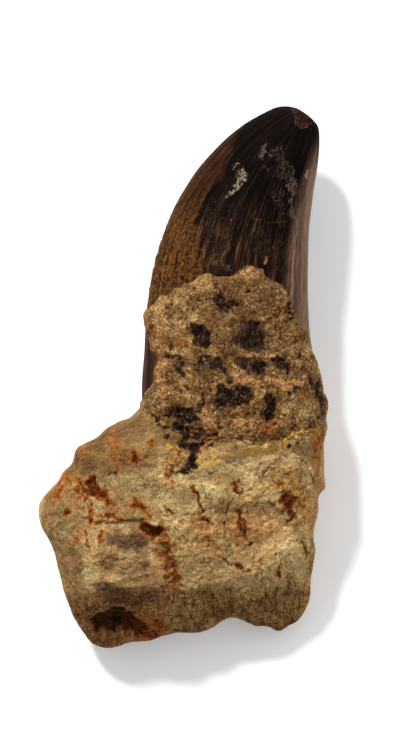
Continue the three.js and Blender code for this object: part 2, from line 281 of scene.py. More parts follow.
# Chips out of the enamel.
chip_strokes = [
    (0.62, 1, 30.9, 51.4, 30.4, 49.6), (0.5, 1, 20.8, 29.9, 20.6, 28.6),
    (0.2, 0.9, 27.7, 67.2, 27.5, 65.4, 28.2, 63.2),
    (0.18, 0.85, 29.6, 62.7, 30.9, 62.6, 31.4, 63.9, 30.7, 65),
]
chip = np.where(upper, nearness(ragged, chip_strokes, 0.4), -1)

# The wear at the tip: a small dished oval, open towards the end.
wear_strokes = [
    (1.9, 1, 29.2, 66.4, 29.7, 64.6), (1.6, 1, 30.2, 64),
]
wear = np.where(upper, nearness(ragged, wear_strokes, 1.7), -1)

# How proud the skin stands, in mm.
worn = smooth(gone, -0.2, 0.3)
proud = (
    -0.10 * worn
    + 0.08 * worn * fibres
    + 0.04 * (1 - worn) * broad_fibres
    + 0.16 * lumps(bare_skin, 9, 6)
    + 0.12 * smooth(grit + 0.4 * lumps(bare_skin, 0.6, 7), 0.2, 0.8)
    - 0.30 * smooth(wear, 0.0, 0.5) * smooth(np.sin(turn), 0.3, 0.8)
)
rough_dentine = smooth(along, 28, 50) * worn
proud += rough_dentine * (0.16 * lumps(bare_skin, 1.0, 8) + 0.22 * lumps(bare_skin, 2.4, 9))
skin = tooth_skin(section, turn, proud)
tip = np.array([[*tip_point, tooth_height - tip_dip]])
root = np.array([[*root_point, tooth_height]])


def capped(values):
    """The values of the rings' points, with the first and the last point's added."""
    return np.concatenate([values[:1], values, values[-1:]])


tooth_faces = rings_to_faces(len(sections), len(turns))
tooth_fields = {
    "straight": straight, "gone": gone, "grit": grit, "haze": haze, "chip": chip, "wear": wear,
    "turn": turn, "along": along,
}
tooth_fields = {name: capped(values) for name, values in tooth_fields.items()}
tooth_points = np.concatenate([tip, skin, root])
tooth = make_piece("fossil_tooth", tooth_points, tooth_faces, tooth_fields)


def paint(red, green, blue):
    """A colour as seen on a screen, 0 to 255, for a shader."""
    return tuple((c / 255 / 12.92 if c < 10 else ((c / 255 + 0.055) / 1.055) ** 2.4)
                 for c in (red, green, blue)) + (1.0,)


class Finish:
    """A procedural finish in the making: each method adds a node and returns its result."""

    def __init__(self, name, kind=bpy.data.materials, shader="Principled BSDF"):
        self.kept_in = kind.new(name)
        self.kept_in.use_nodes = True
        self.tree = self.kept_in.node_tree
        self.surface = self.tree.nodes[shader]

    def node(self, kind, output, inputs, **settings):
        """Adds a node with these inputs and settings, and returns one of its outputs."""
        made = self.tree.nodes.new("ShaderNode" + kind)
        for setting, value in settings.items():
            setattr(made, setting, value)
        for socket, value in inputs.items():
            self.put(made.inputs[socket], value)
        return made.outputs[output]

    def put(self, socket, value):
        if isinstance(value, bpy.types.NodeSocket):
            self.tree.links.new(value, socket)
        else:
            socket.default_value = value

    def field(self, name):
        """The number that each point of the mesh has under that name."""
        return self.node("Attribute", "Fac", {}, attribute_name=name)

    def place(self, stretch=(1, 1, 1), field=None):
        """Where a point is, in mm, or in the straightened coordinates of a field."""
        if field:
            spot = self.node("Attribute", "Vector", {}, attribute_name=field)
            scale = stretch
        else:
            spot = self.node("TexCoord", "Object", {})
            scale = tuple(s / mm for s in stretch)
        return self.vector("MULTIPLY", spot, scale)

    def vector(self, operation, *values, output="Vector"):
        return self.node("VectorMath", output, dict(enumerate(values)), operation=operation)

    def noise(self, spot, size, detail=2.0, roughness=0.5):
        return self.node(
            "TexNoise", "Fac",
            {"Vector": spot, "Scale": 1 / size, "Detail": detail, "Roughness": roughness},
        )

    def jostled(self, spot, size, by):
        """The same places, pushed about by up to that many mm."""
        push = self.node("TexNoise", "Color", {"Vector": spot, "Scale": 1 / size, "Detail": 3.0})
        push = self.vector("SUBTRACT", push, (0.5, 0.5, 0.5))
        return self.vector("MULTIPLY_ADD", push, (2 * by, 2 * by, 2 * by), spot)

    def cells(self, spot, size, output, feature="F1"):
        inputs = {"Vector": spot, "Scale": 1 / size}
        return self.node("TexVoronoi", output, inputs, feature=feature)

    def grains(self, spot, size):
        """An even random tone for each grain of that size."""
        return self.node("SeparateColor", 0, {0: self.cells(spot, size, "Color")})

    def dots(self, spot, size, wide, share):
        """Round spots of that half width in mm, in a share of the cells of that size."""
        off = self.cells(spot, size, "Distance")
        there = self.step(self.grains(spot, size), 1 - share, 1 - share + 0.05)
        return self.times(self.step(off, wide / size, 0.4 * wide / size), there)

    def seams(self, spot, size):
        """How far the seam between two grains is, in grains."""
        return self.cells(spot, size, "Distance", "DISTANCE_TO_EDGE")

    def off_line(self, spot, stops):
        """How many mm off a line of straight runs a place is, seen from above."""
        nearest = None
        flat = self.vector("MULTIPLY", spot, (1, 1, 0))
        for start, stop in zip(stops, stops[1:]):
            run = (stop[0] - start[0], stop[1] - start[1], 0)
            per_reach = tuple(way / (run[0] ** 2 + run[1] ** 2) for way in run)
            off = self.vector("SUBTRACT", flat, (*start, 0))
            share = self.vector("DOT_PRODUCT", off, per_reach, output="Value")
            share = self.node("Math", "Value", {0: share, 1: 0.0}, operation="ADD", use_clamp=True)
            foot = self.node("VectorMath", "Vector", {0: run, "Scale": share}, operation="SCALE")
            far = self.vector("DISTANCE", off, foot, output="Value")
            nearest = far if nearest is None else self.node(
                "Math", "Value", {0: nearest, 1: far}, operation="MINIMUM"
            )
        return nearest

    def sum(self, a, b, share=1.0):
        """a, and a share of b."""
        return self.node("Math", "Value", {0: b, 1: share, 2: a}, operation="MULTIPLY_ADD")

    def blend(self, *parts):
        """The sum of some values, each (value, weight). (1, weight) adds a plain number."""
        total = 0.0
        for value, weight in parts:
            total = self.sum(total, value, weight)
        return total

    def times(self, first, *others):
        for other in others:
            first = self.node("Math", "Value", {0: first, 1: other}, operation="MULTIPLY")
        return first

    def step(self, value, low, high, most=1.0):
        """0 below low, most above high, and smooth between."""
        return self.node(
            "MapRange", "Result",
            {"Value": value, "From Min": low, "From Max": high, "To Min": 0.0, "To Max": most},
            interpolation_type="SMOOTHSTEP",
        )

    def ramp(self, value, *stops):
        """A colour for each value, from stops of (value, red, green, blue)."""
        shade = self.node("ValToRGB", "Color", {"Fac": value})
        scale = shade.node.color_ramp
        while len(scale.elements) < len(stops):
            scale.elements.new(1.0)
        for element, (position, *colour) in zip(scale.elements, stops):
            element.position = position
            element.color = paint(*colour)
        return shade

    def mix(self, amount, under, over, how="MIX"):
        """One colour over another. Each is a result, or red, green and blue."""
        under, over = (paint(*c) if isinstance(c, tuple) else c for c in (under, over))
        return self.node(
            "Mix", 2, {0: amount, 6: under, 7: over}, data_type="RGBA", blend_type=how
        )

    def coats(self, colour, *coats):
        """A colour under some coats, each (amount, colour)."""
        for amount, over in coats:
            colour = self.mix(amount, colour, over)
        return colour

    def bump(self, height, depth, under=None):
        """Relief of that depth in mm, over other relief."""
        inputs = {"Height": height, "Distance": depth * mm, "Strength": 1.0}
        if under is not None:
            inputs["Normal"] = under
        return self.node("Bump", "Normal", inputs)

    def lay_on(self, piece, colour, roughness, specular, relief=None):
        """Sets the shader's sockets and puts the finish on a piece, in place of any other."""
        self.put(self.surface.inputs["Base Color"], colour)
        self.put(self.surface.inputs["Roughness"], roughness)
        self.surface.inputs["Specular IOR Level"].default_value = specular
        if relief is not None:
            self.put(self.surface.inputs["Normal"], relief)
        piece.data.materials.clear()
        piece.data.materials.append(self.kept_in)


def finish_enamel(piece):
    """Near-black enamel, fibrous brown dentine where it is gone, and a grey-brown rear band that
    is partly painted sheen, with painted highlights.
    """
    f = Finish("fossil enamel")
    spot = f.place()
    hair = f.noise(f.place((1, 1, 0.10), "straight"), 0.30, 2, 0.6)
    fine = f.noise(f.place((1, 1, 0.08), "straight"), 0.6, 3, 0.65)
    broad = f.noise(f.place((1, 1, 0.06), "straight"), 2.0, 3, 0.6)
    blotch = f.noise(spot, 6, 3, 0.6)
    dust = f.noise(spot, 0.6, 3, 0.7)
    along = f.field("along")
    turn = f.field("turn")
    streaks = f.blend((fine, 0.35), (broad, 0.4), (hair, 0.25))

    # The black, deepest at the tip, and the rear band, whose grey-brown is partly painted sheen,
    # lighter over its edge as a painted highlight.
    top_black = f.ramp(streaks, (0.38, 4, 2, 2), (0.52, 11, 6, 4), (0.62, 31, 20, 14))
    low_black = f.ramp(
        streaks, (0.38, 9, 5, 3), (0.48, 24, 13, 8), (0.55, 52, 33, 21), (0.64, 96, 68, 46)
    )
    covered = f.ramp(streaks, (0.38, 18, 10, 8), (0.5, 44, 27, 20), (0.62, 86, 60, 46))
    black = f.coats(
        top_black,
        (f.step(f.sum(along, blotch, 24), 34, 58), low_black),
        (f.step(along, 48, 54), covered),
    )
    # Painted sheen: the rear band's two tones, the lighter one a painted highlight over its edge.
    rear_band_and_sheen = f.ramp(streaks, (0.38, 46, 32, 26), (0.5, 76, 56, 45), (0.62, 108, 84, 68))
    rear_band_and_edge_highlight = f.ramp(streaks, (0.38, 88, 66, 52), (0.5, 120, 94, 76), (0.62, 146, 120, 98))
    rear = f.mix(f.step(turn, keel_angle, 0.3), rear_band_and_sheen, rear_band_and_edge_highlight)
    fading = f.blend((turn, 1), (fine, 0.16), (blotch, 0.2))
    behind_keel = f.times(
        f.step(fading, keel_angle + 0.40, keel_angle + 0.12),
        f.step(f.sum(along, blotch, 8), 5, 16),
    )
    under_side = f.step(turn, 2 * math.pi - 0.6, 2 * math.pi - 0.35)
    # The keel: a pale line along its ridge, painted as a highlight.
    ridge = f.sum(turn, fine, 0.05)
    keel = f.times(
        f.step(ridge, keel_angle, keel_angle + 0.025),
        f.step(ridge, keel_angle + 0.09, keel_angle + 0.05),
        f.step(along, 18, 34),
        f.step(hair, 0.42, 0.56),
    )
    enamel = f.coats(
        black, (f.sum(behind_keel, under_side), rear), (f.times(keel, 0.55), (146, 116, 90))
    )

    # The dentine: brown fibres with slits, nicks and crumbs between them, and a painted rim light
    # that makes it paler along its front edge.
    wood = f.blend((fine, 0.4), (broad, 0.3), (hair, 0.3))
    upper_brown = f.ramp(
        wood, (0.38, 13, 6, 4), (0.48, 34, 18, 10), (0.58, 60, 37, 21), (0.66, 84, 56, 34)
    )
    grains = f.noise(spot, 0.8, 4, 0.75)
    lower_brown = f.ramp(
        f.blend((wood, 0.5), (grains, 0.5)), (0.38, 20, 10, 5), (0.46, 52, 29, 12),
        (0.53, 84, 53, 24), (0.62, 118, 80, 42), (0.70, 162, 124, 76),
    )
    slits = f.step(f.noise(f.place((1, 1, 0.22), "straight"), 0.9, 3, 0.6), 0.43, 0.36)
    nicks = f.dots(f.jostled(f.place((1, 1, 0.4), "straight"), 1.5, 0.4), 0.9, 0.24, 0.22)
    crumbs = f.dots(f.jostled(f.place((1, 1, 0.6), "straight"), 1.3, 0.4), 0.8, 0.20, 0.16)
    # Painted rim light: the dentine made paler along the crown's front edge.
    painted_front_rim_light = f.times(
        f.step(turn, math.pi - 0.55, math.pi - 0.1), f.step(grains, 0.3, 0.6),
        f.step(along, 10, 26, 0.4),
    )
    dentine = f.coats(
        upper_brown,
        (f.step(f.sum(along, blotch, 24), 32, 56), lower_brown),
        (f.times(slits, 0.85), (20, 10, 6)),
        (f.times(nicks, f.step(along, 20, 40, 0.85)), (18, 9, 5)),
        (f.times(crumbs, f.step(along, 26, 46, 0.6)), (190, 146, 84)),
        (painted_front_rim_light, (112, 78, 46)),
    )

    # Haze, rock grit and chips on both, and the worn oval at the tip.
    worn = f.step(f.blend((f.field("gone"), 1), (fine, 2.4), (dust, 1.2)), 1.6, 2.1)
    flecks = f.noise(f.place((1, 1, 0.4), "straight"), 0.45, 3, 0.7)
    specks = f.noise(f.place((1, 1, 0.5), "straight"), 0.22, 2, 0.6)
    haze = f.blend((f.field("haze"), 1), (flecks, 2.4), (dust, 1), (specks, 1.2))
    haze_colour = f.mix(f.step(along, 22, 30), (114, 97, 82), (104, 80, 54))
    grit_mask = f.step(f.blend((f.field("grit"), 1), (dust, 2.6), (flecks, 1)), 2.3, 2.9)
    grit_colour = f.ramp(
        f.noise(spot, 0.5), (0.36, 52, 40, 28), (0.48, 98, 84, 64), (0.62, 152, 139, 114)
    )
    chipped = f.step(f.sum(f.field("chip"), dust, 1.2), 0.75, 1.15)
    chip_colour = f.coats(
        (124, 100, 82),
        (f.step(along, 30, 34), (146, 102, 60)),
        (f.step(along, 8, 6), (98, 66, 46)),
    )
    wear = f.blend((f.field("wear"), 1), (blotch, 0.6), (dust, 0.8))
    worn_tip = f.ramp(dust, (0.36, 20, 11, 9), (0.5, 38, 22, 16), (0.64, 66, 41, 29))
    rim = f.times(
        f.step(wear, 0.66, 0.76), f.step(wear, 0.9, 0.8), f.step(dust, 0.46, 0.62, 0.5)
    )
    colour = f.coats(
        enamel,
        (worn, dentine),
        (f.step(haze, 2.5, 3.7, 0.75), haze_colour),
        (f.times(grit_mask, 0.85), grit_colour),
        (f.times(chipped, 0.75), chip_colour),
        (f.step(wear, 0.66, 1.0, 0.85), worn_tip),
        (f.step(wear, 1.25, 1.5, 0.8), (24, 13, 12)),
        (rim, (112, 76, 54)),
    )

    roughness = f.sum(f.sum(0.74, worn, 0.18), grit_mask, 0.1)
    relief = f.bump(f.times(grains, worn), 0.35, f.bump(streaks, 0.16))
    relief = f.bump(f.times(dust, f.sum(grit_mask, chipped)), 0.25, relief)
    f.lay_on(piece, colour, roughness, 0.02, relief)


finish_enamel(tooth)
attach(tooth, "root")
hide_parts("tooth")

# ---- The matrix ------------------------------------------------------------------------------
# The sandstone that the tooth lies in: a broken block, flat underneath, and a rough crust of the
# same rock over the lower crown. Both are lofted, grown into one skin, and then broken, pitted and
# stained. Rust and dark minerals have soaked in from its cracks and around the tooth.
crust_thickness = 1.5
crust_least = 0.5
crust_sink = 0.9  # mm under the tooth's skin, where no crust is left
crust_feather = 0.4  # sections over which its edge thins out
# The crust's upper edge: the section that it reaches up to, across the tooth from -1 to 1.
crust_line = [
    (-1, 7.84), (-0.81, 7.67), (-0.65, 7.45), (-0.5, 7.23), (-0.39, 6.97), (-0.1, 6.9),
    (0.12, 6.62), (0.43, 6.63), (0.68, 6.75), (0.73, 7.1), (0.81, 7.53), (0.94, 7.9), (1, 8.9),
]
crust_underneath = 8.9
crust_ends = (6.1, 12.3)  # sections
# The bare strip on the front edge: its middle and its half sizes, in sections and radians.
strip_section, strip_turn = 9.45, 3.3
strip_sections, strip_turns = 1.05, 0.66
block_middle = (1.8, -36.6)
block_outline = [
    (-8.8, -5), (-7.6, 2), (-4, 9.5), (4, 14), (14, 15), (24, 12), (29.8, 6), (33.2, -1.2),
    (36.2, -5.2), (36.2, -8.1), (35.7, -9.9), (36, -11.9), (35, -16), (35.1, -20.4), (35.3, -23.4),
    (35.8, -26.6), (35.5, -28), (34.1, -29.2), (33.8, -30.5), (34.2, -33.2), (33.4, -36.4),
    (32.8, -39.9), (33.3, -43.4), (32.6, -47.6), (31.8, -51.4), (32, -54.4), (31.6, -56.5),
    (30.5, -59.1), (28.9, -61.3), (26.3, -62.6), (24.3, -63.9), (21.3, -62.6), (18.4, -62.6),
    (16, -61.4), (13.5, -60.3), (11.4, -60.3), (9.8, -61.1), (7.2, -62.9), (4.2, -64),
    (-0.8, -64.1), (-4, -64.6), (-7.8, -65.9), (-11.4, -66.3), (-14.2, -66.6), (-16.5, -67.6),
    (-19.2, -68), (-21.8, -67.4), (-23.1, -66.6), (-25.8, -62.9), (-27.5, -59.9), (-28.5, -56.7),
    (-30.2, -51.4), (-31.1, -47.4), (-32.2, -43.6), (-33.4, -40.8), (-35.1, -37.7), (-35.8, -35.6),
    (-35.9, -33.1), (-35.7, -31.4), (-34.6, -29.4), (-32.8, -27.4), (-30.8, -25.6), (-29.8, -23.4),
    (-28, -21.7), (-27.4, -20.2), (-26.8, -17.6), (-24.8, -16.2), (-21, -14.4), (-19.4, -12.9),
    (-15.8, -11), (-13.4, -10.1), (-11.4, -8.1),
]
waist_height = 13.0
waist_wander = 3.0
foot_share = 0.86  # of the outline, which is widest at the waist
foot_stray = 2.0
nick_depth = 0.09  # share of the block's breadth that its nicks reach in
shoulder = 9  # how squarely the sides turn into the top
# Height over the middle of the ground, and slopes along x and y, of the upper faces.
block_faces = [(33.2, 0.05, 0.12), (41.5, -0.24, 0.38), (62.8, -0.2, 0.8), (17.5, 0.0, -0.9)]
face_blend = 4.0  # mm of height over which two faces round into each other
fold_wander = 1.3
block_sides = 240
walk_steps = 3000  # along the outline, from which its sides are spaced evenly
evening_reach = 14  # points of the outline each way that even its nicks out
crust_rings = 90
crust_sides = 200
rubbed_from = 33.0  # mm over the ground: the crumbs that stand higher are rubbed down
rubbed_share = 0.65
first_grain = 0.71  # mm, the spacing of the rock's skin, halved on its upper side
fine_slope = 0.3  # of the normal: steeper faces aren't halved
fine_from = 9.0

# Windows in the crust, where the bone under it shows, and the dark minerals, seen from above.
window_strokes = [
    (2.4, 1, 3.7, 12, 4.4, 9.6), (3.9, 1, 16.4, 10.7, 17.2, 9.9),
    (0.85, 0.9, 11.1, 2.2, 11.2, -1.2), (1.6, 0.9, 14.4, 4.2, 18.6, 2.8),
    (1.5, 0.85, 23.2, 3.8, 25.6, 2.6), (1.2, 0.9, 8.2, 3.6, 9.2, 3),
]
dark_strokes = [
    (2.2, 1.15, 9.3, 18.7, 10.5, 17.6), (1.2, 1.1, 12.3, 18.5, 13.9, 18.7),
    (1, 0.5, 7.3, 25.6, 7.9, 22), (0.95, 1.1, -3.7, 5.6, -1.8, 5), (1.4, 0.9, -1.3, 3.6, 0.6, 1.2),
    (1.7, 1, 4.2, 4.6, 6.6, 4.2), (0.4, 1, 10.3, 8.6, 10.1, 5.4), (2.7, 1.2, 10, -4.9, 15, -4.4),
    (1.3, 0.9, 9.6, -3.4), (2, 1.15, 20.9, -5.6, 21.1, -8.4), (0.8, 0.9, 19.7, -8.6),
    (0.55, 1, 17.3, -8.2), (0.75, 1, 27.3, -3, 28.6, -2.3), (0.4, 0.8, 25.8, -3.8, 27.3, -3),
    (1.4, 1, 31.6, 0.4, 33.2, -1.6), (1.2, 1.1, 32.5, -2.6, 33.6, -3.6),
    (1.3, 1.1, 34.6, -4.6, 35.4, -8.8), (1.5, 0.95, -3.6, -8.4, -2, -7.2),
    (2.6, 1.2, 0.4, -9.4, 2, -9.6), (0.95, 1, -6.3, -9.4, -6, -10.4),
    (2.1, 1.1, -0.8, -12.4, 0.6, -13.6), (0.9, 1.1, -4.7, -12.9, -3.6, -12.7),
    (0.7, 1, -5.4, -11.6), (0.7, 0.95, -3.6, -14.8), (1.9, 1.1, 0, -16.4, 2.2, -16.8, 3.4, -17.6),
    (1.35, 1.1, 2.7, -19.4, 2.3, -21, 1.2, -22.6), (1, 0.4, -2.7, -21.6, -2.8, -23.4),
    (0.7, 0.7, 0.6, -23, -1.8, -23.8), (1.7, 0.5, 2, -13.4, 4.4, -13.6),
    (0.9, 0.9, 4.2, -17.4, 5.4, -15.4, 7, -14.2), (0.9, 0.9, 4.7, -3.4, 3.8, -7.6),
    (0.5, 0.45, 5.2, -17.6, 7.4, -15.6, 11.4, -14), (1.6, 0.2, -2.2, -18, -1.2, -20.4),
    (3, 0.2, 8, 14, 12, 8), (3.2, 0.2, 20, 16, 24, 8), (2, 0.15, 14, 18, 18, 15),
    (4, 0.12, 21, 19, 26, 6), (3, 0.12, 11, 22.5, 20, 22), (3, 0.1, 6, 2, 10, -1),
    (0.8, 0.5, 29.6, -42, 31, -43.5), (0.7, 0.45, 28.8, -40.6, 29.6, -41),
    (0.9, 0.6, 6.2, -3.6, 6.8, -5.8), (0.75, 0.7, 25.9, 21, 26.6, 18.2),
    (0.6, 0.7, 26.6, 16.4, 26.9, 13.6), (0.8, 1, 13.9, -28.3), (0.5, 0.9, 28.5, -15.5),
    (0.4, 0.9, 26.3, -16.3), (0.35, 1, -30, -37.9), (0.5, 0.6, -17.6, -22.9, -15.8, -24),
    (0.6, 0.5, 5.6, -12.4, 9, -13.6), (0.6, 0.45, 9.6, -11.4, 13, -12.8),
    (0.7, 0.5, 3.4, 0.2, 3.8, -2.2), (0.35, 0.9, 15.9, -40.2, 16.8, -41.8), (0.6, 0.7, 24.2, 0.4),
    (0.4, 0.8, 1.6, 16.6), (0.5, 0.6, -2.6, 14.4, -2, 13.6),
]
# Rust, in streaks along the cracks and in blots, and a thin veil of it.
rust_strokes = [
    (1.8, 1.1, -22.8, -25.8, -22.9, -28.6), (2.3, 1.05, -22.2, -28, -20.8, -28.6),
    (1, 0.8, -30.9, -25.8, -31.2, -29.2), (0.8, 0.75, -29.4, -24.8, -28.3, -25.6),
    (0.9, 0.75, -26, -17, -25, -18), (0.8, 0.8, -25.3, -24.2, -25, -28.6),
    (1.3, 1, -12.2, -19, -11.8, -20.4), (0.4, 0.9, -10, -20), (0.65, 0.9, -9, -16, -8.1, -17.1),
    (0.65, 0.9, -29, -32.6, -28.6, -33.8), (0.7, 0.65, -27.1, -40.6),
    (0.9, 0.8, -20.2, -29.8, -17, -31), (1, 0.95, -20.6, -33.8, -14.6, -34.6),
    (0.6, 0.75, -23, -31.2, -22.4, -36.6), (0.75, 0.8, -24.6, -38, -23.4, -41),
    (0.5, 0.8, -20.4, -38, -20, -40.2), (1.3, 0.65, -11, -31, -9, -33.2),
    (2, 1.1, -9.2, -36.8, -7, -38.4), (1.4, 0.5, -5.6, -37, -4.2, -40, -3, -41.8),
    (0.8, 0.9, -4.2, -32.4, -3.2, -33.2), (1.7, 0.45, -4.6, -43.8, -3.4, -45.6),
    (1.5, 0.55, -3.2, -47, -2, -50.6), (0.5, 1.1, 3, -27, 4.6, -32.2),
    (0.75, 1, 5.3, -34, 6, -35.2), (1.2, 0.08, 5.8, -37, 6.4, -41),
    (0.7, 1, 12.4, -25.8, 13.4, -27.4), (1.2, 1, 13.3, -33, 14.4, -36.4, 15.6, -39.6),
    (2.2, 0.08, 14, -35, 15.4, -39), (0.35, 0.9, 17.4, -42.5), (0.35, 0.9, 19, -44.8),
    (2.3, 1.1, 25.6, -29.6, 26.4, -31.6), (2.2, 0.08, 27.6, -29.6, 29.2, -32),
    (1.6, 0.1, 25, -26, 26.2, -28.2), (1.3, 1, 26, -31.8, 26.8, -34), (0.6, 1, 26.6, -35.2),
    (0.7, 1, 24.1, -43.7), (0.65, 1, 23.7, -47.8, 24, -49.4), (0.9, 0.9, 13.2, -46.4, 15, -47.2),
    (0.6, 0.8, 9.8, -44.2, 10.8, -45.4), (1.2, 0.55, 33, -15, 33.4, -19),
    (1.3, 0.35, -2.7, -21, -3.1, -23.6), (1.1, 0.4, 4.4, -17.6, 6.2, -15.2),
    (1.2, 0.35, 21.4, -10, 21.6, -12.2), (1.9, 0.9, -11.6, -60.4, -8, -64.6),
    (1.4, 0.5, -9.6, -61, -6.6, -65), (1.2, 0.7, -7, -60, -6, -63),
    (0.6, 0.3, -7.6, 4.6, -8.2, 0.6), (0.8, 0.9, -10.6, -56.4), (0.7, 0.55, 5.6, -39, 6.6, -41.8),
    (0.35, 0.8, 18, -30.9, 19.4, -31.2), (0.8, 0.6, 24.4, -26.6, 25.4, -27.8),
    (0.8, 0.6, 28.6, -29.8, 29.8, -31.4), (0.5, 0.5, -2.6, -17.4, -2, -18.6),
    (0.5, 0.6, -2.2, -21.6, -3, -22.4), (0.35, 0.9, -33, -33.6),
    (0.6, 0.6, -26.6, -26.4, -26, -28.8), (0.45, 0.8, 3.6, 12.8, 5, 13.4),
    (0.5, 0.6, 30.6, -3.8, 31.4, -5),
]
veil_strokes = [
    (3.4, 1, -17.5, -13.5, -15.5, -21.5), (2.4, 0.9, -2.6, -17.4, -1.4, -21),
    (6, 0.7, -30, -25, -25, -30), (6, 0.6, -24, -38, -14, -33), (5, 0.7, -10, -34, -4, -44),
    (3, 0.8, 26, -29, 27.5, -35), (3, 0.8, 26, -24, 30, -34), (3, 0.9, 4, -36, 7, -42),
    (5, 0.9, -12, -59, -6, -64), (2.4, 0.7, -9, -49, -1, -46), (3, 0.8, 32, -16, 34, -22),
    (2.4, 1, -8, 11.4, -3.5, 9.6, 1.6, 8.8), (1.6, 0.9, -7.6, 8, -8, 0),
    (3, 0.8, -16, -17, -13, -20), (3, 0.7, 4.6, -11.8, 10, -12.4), (6, 0.8, -24, -62, -10, -64.5),
]
# The tones of the rock: ochre earth, greenish and pinkish stone, dull violet, and the dark end.
# The pink partly paints light on a shaded slope; the dull, umber, violet and end tones are partly
# painted shade, set by how the lamp falls on those faces.
ochre_strokes = [
    (2.2, 1, -2.4, -17.6, -1.4, -20.8), (2.2, 0.9, 4, -20.4, 8, -20),
    (2.6, 0.45, 10, -17.8, 15, -18.6), (2.6, 0.6, 15, -18.4, 22, -16.8, 26, -15),
    (2, 0.8, 27, -13.4, 31, -12), (1.6, 0.7, 29.4, -42.6, 30, -44.6), (3, 0.5, 18, 14, 24, 16),
    (2.6, 0.5, 28, -24, 31, -34),
]
green_strokes = [
    (5, 1, -18.5, -24, -10, -27), (4, 0.9, -27, -31.5, -23.5, -36), (4, 0.8, -14, -13.5, -7, -13),
    (3.5, 0.9, 28.5, -15, 31, -19.6), (2.6, 0.6, 10, -30, 11, -42), (2.2, 0.6, 19, -24, 22, -24.6),
    (3, 0.6, 29, -37, 30.5, -46), (4, 0.5, -31, -34, -30, -40), (2.6, 1, -5.8, 18.6, -5.4, 13),
    (2.6, 1, -1, 19, 3, 15.6), (1.9, 0.9, 3.6, 24, 6, 22.6), (3.2, 0.9, 26, -6.6, 31, -7.2),
    (2.4, 0.7, -10, -6.4, -12, -11), (3, 0.7, -6, -27.5, 2, -28.5), (3.4, 0.5, 3, -24, 12, -24.6),
    (2.8, 0.35, 20, -20.4, 27, -19.6),
]
# Pinkish stone. The first stroke is painted light: it brightens the slope at the crust's foot,
# which the lamp leaves in shade.
pink_and_painted_light_strokes = [
    (2.8, 0.95, 9, -17.4, 17, -18.6, 25, -17), (3, 0.5, -19, -16, -14, -19.5),
    (3, 0.5, -31, -28, -27, -24), (4.4, 0.9, 17.8, -34, 22.6, -36.6),
    (2.8, 1, -5.4, 2.6, -4.2, -3.6), (2.2, 0.7, -0.8, -1.4, 0.8, -3.2),
    (2.8, 0.9, 12, 0.8, 20, -0.6), (2.4, 0.7, 4.6, -0.6, 9, -2), (3, 0.6, 5, -13, 12, -11.4),
    (4, 0.5, -24, -44, -16, -49), (2, 0.7, 3, -7, 6.6, -9.6), (2.2, 0.8, 23, -1.4, 28, -0.6),
    (2.6, 0.6, 20, -12, 27, -9.4), (3, 0.7, -14, -48, -7, -47), (2, 0.8, 14, -9.4, 18, -10.6),
]
# Dull, darker tan: partly the rock's own tone, partly painted shade that darkens the left faces
# leaning towards the lamp.
dull_and_painted_shade_strokes = [
    (9, 1, -26, -20, -12, -17), (7, 0.95, -30, -30, -29, -57), (3, 0.9, -34, -31, -34.5, -38),
    (4, 0.5, 6, -48.5, 28, -50.5), (6, 0.7, -18, -30, -12, -34), (5, 0.6, -20, -44, -10, -48),
    (6, 1, -13, -10, -4, -13.5, 1, -18), (2.6, 0.9, 30.6, -14, 33, -20, 34, -28),
]
# Umber: partly the rock's own brown, partly painted shade on the left faces that lean to the lamp
# and on the right flank.
umber_and_painted_shade_strokes = [
    (7, 1, -30, -21, -24, -16, -10, -9), (5, 0.9, -26, -22, -14, -20),
    (2.8, 1.3, -17.5, -16, -15, -20.5), (4, 0.8, -33, -30, -30, -24), (4, 0.9, -8, -12, -1, -16),
    (1.6, 0.9, 34.4, -13, 34.2, -24), (1.6, 0.9, 33.6, -31, 33, -41, 31.8, -52),
]
# Dull violet: partly the rock's own tone, partly painted shade along the fold at the lower left.
violet_and_painted_shade_strokes = [
    (4, 0.9, -17, -39.6, -11, -41), (2.6, 0.7, -18.6, -45.4, -16, -43),
    (3, 0.7, -10, -45, -8, -49), (4, 0.8, -20, -53, -15, -54.5, -8, -53), (3, 0.5, -24, -55),
]
# The dark end: partly the rock's own darker brown, partly painted shade of the end face, which is
# turned from the lamp.
end_and_painted_shade_strokes = [
    (13, 1, -22, -64.4, -4, -63.4), (14, 1, -4, -63.4, 32, -63.6), (9, 0.9, -26, -64),
    (3.5, 0.7, 33.5, -46, 32.5, -54),
]
hollow_strokes = [
    (2.8, 1, -21, -60.4, -14.4, -60), (1.6, 0.9, -15, -61.4, -11, -63.6),
]
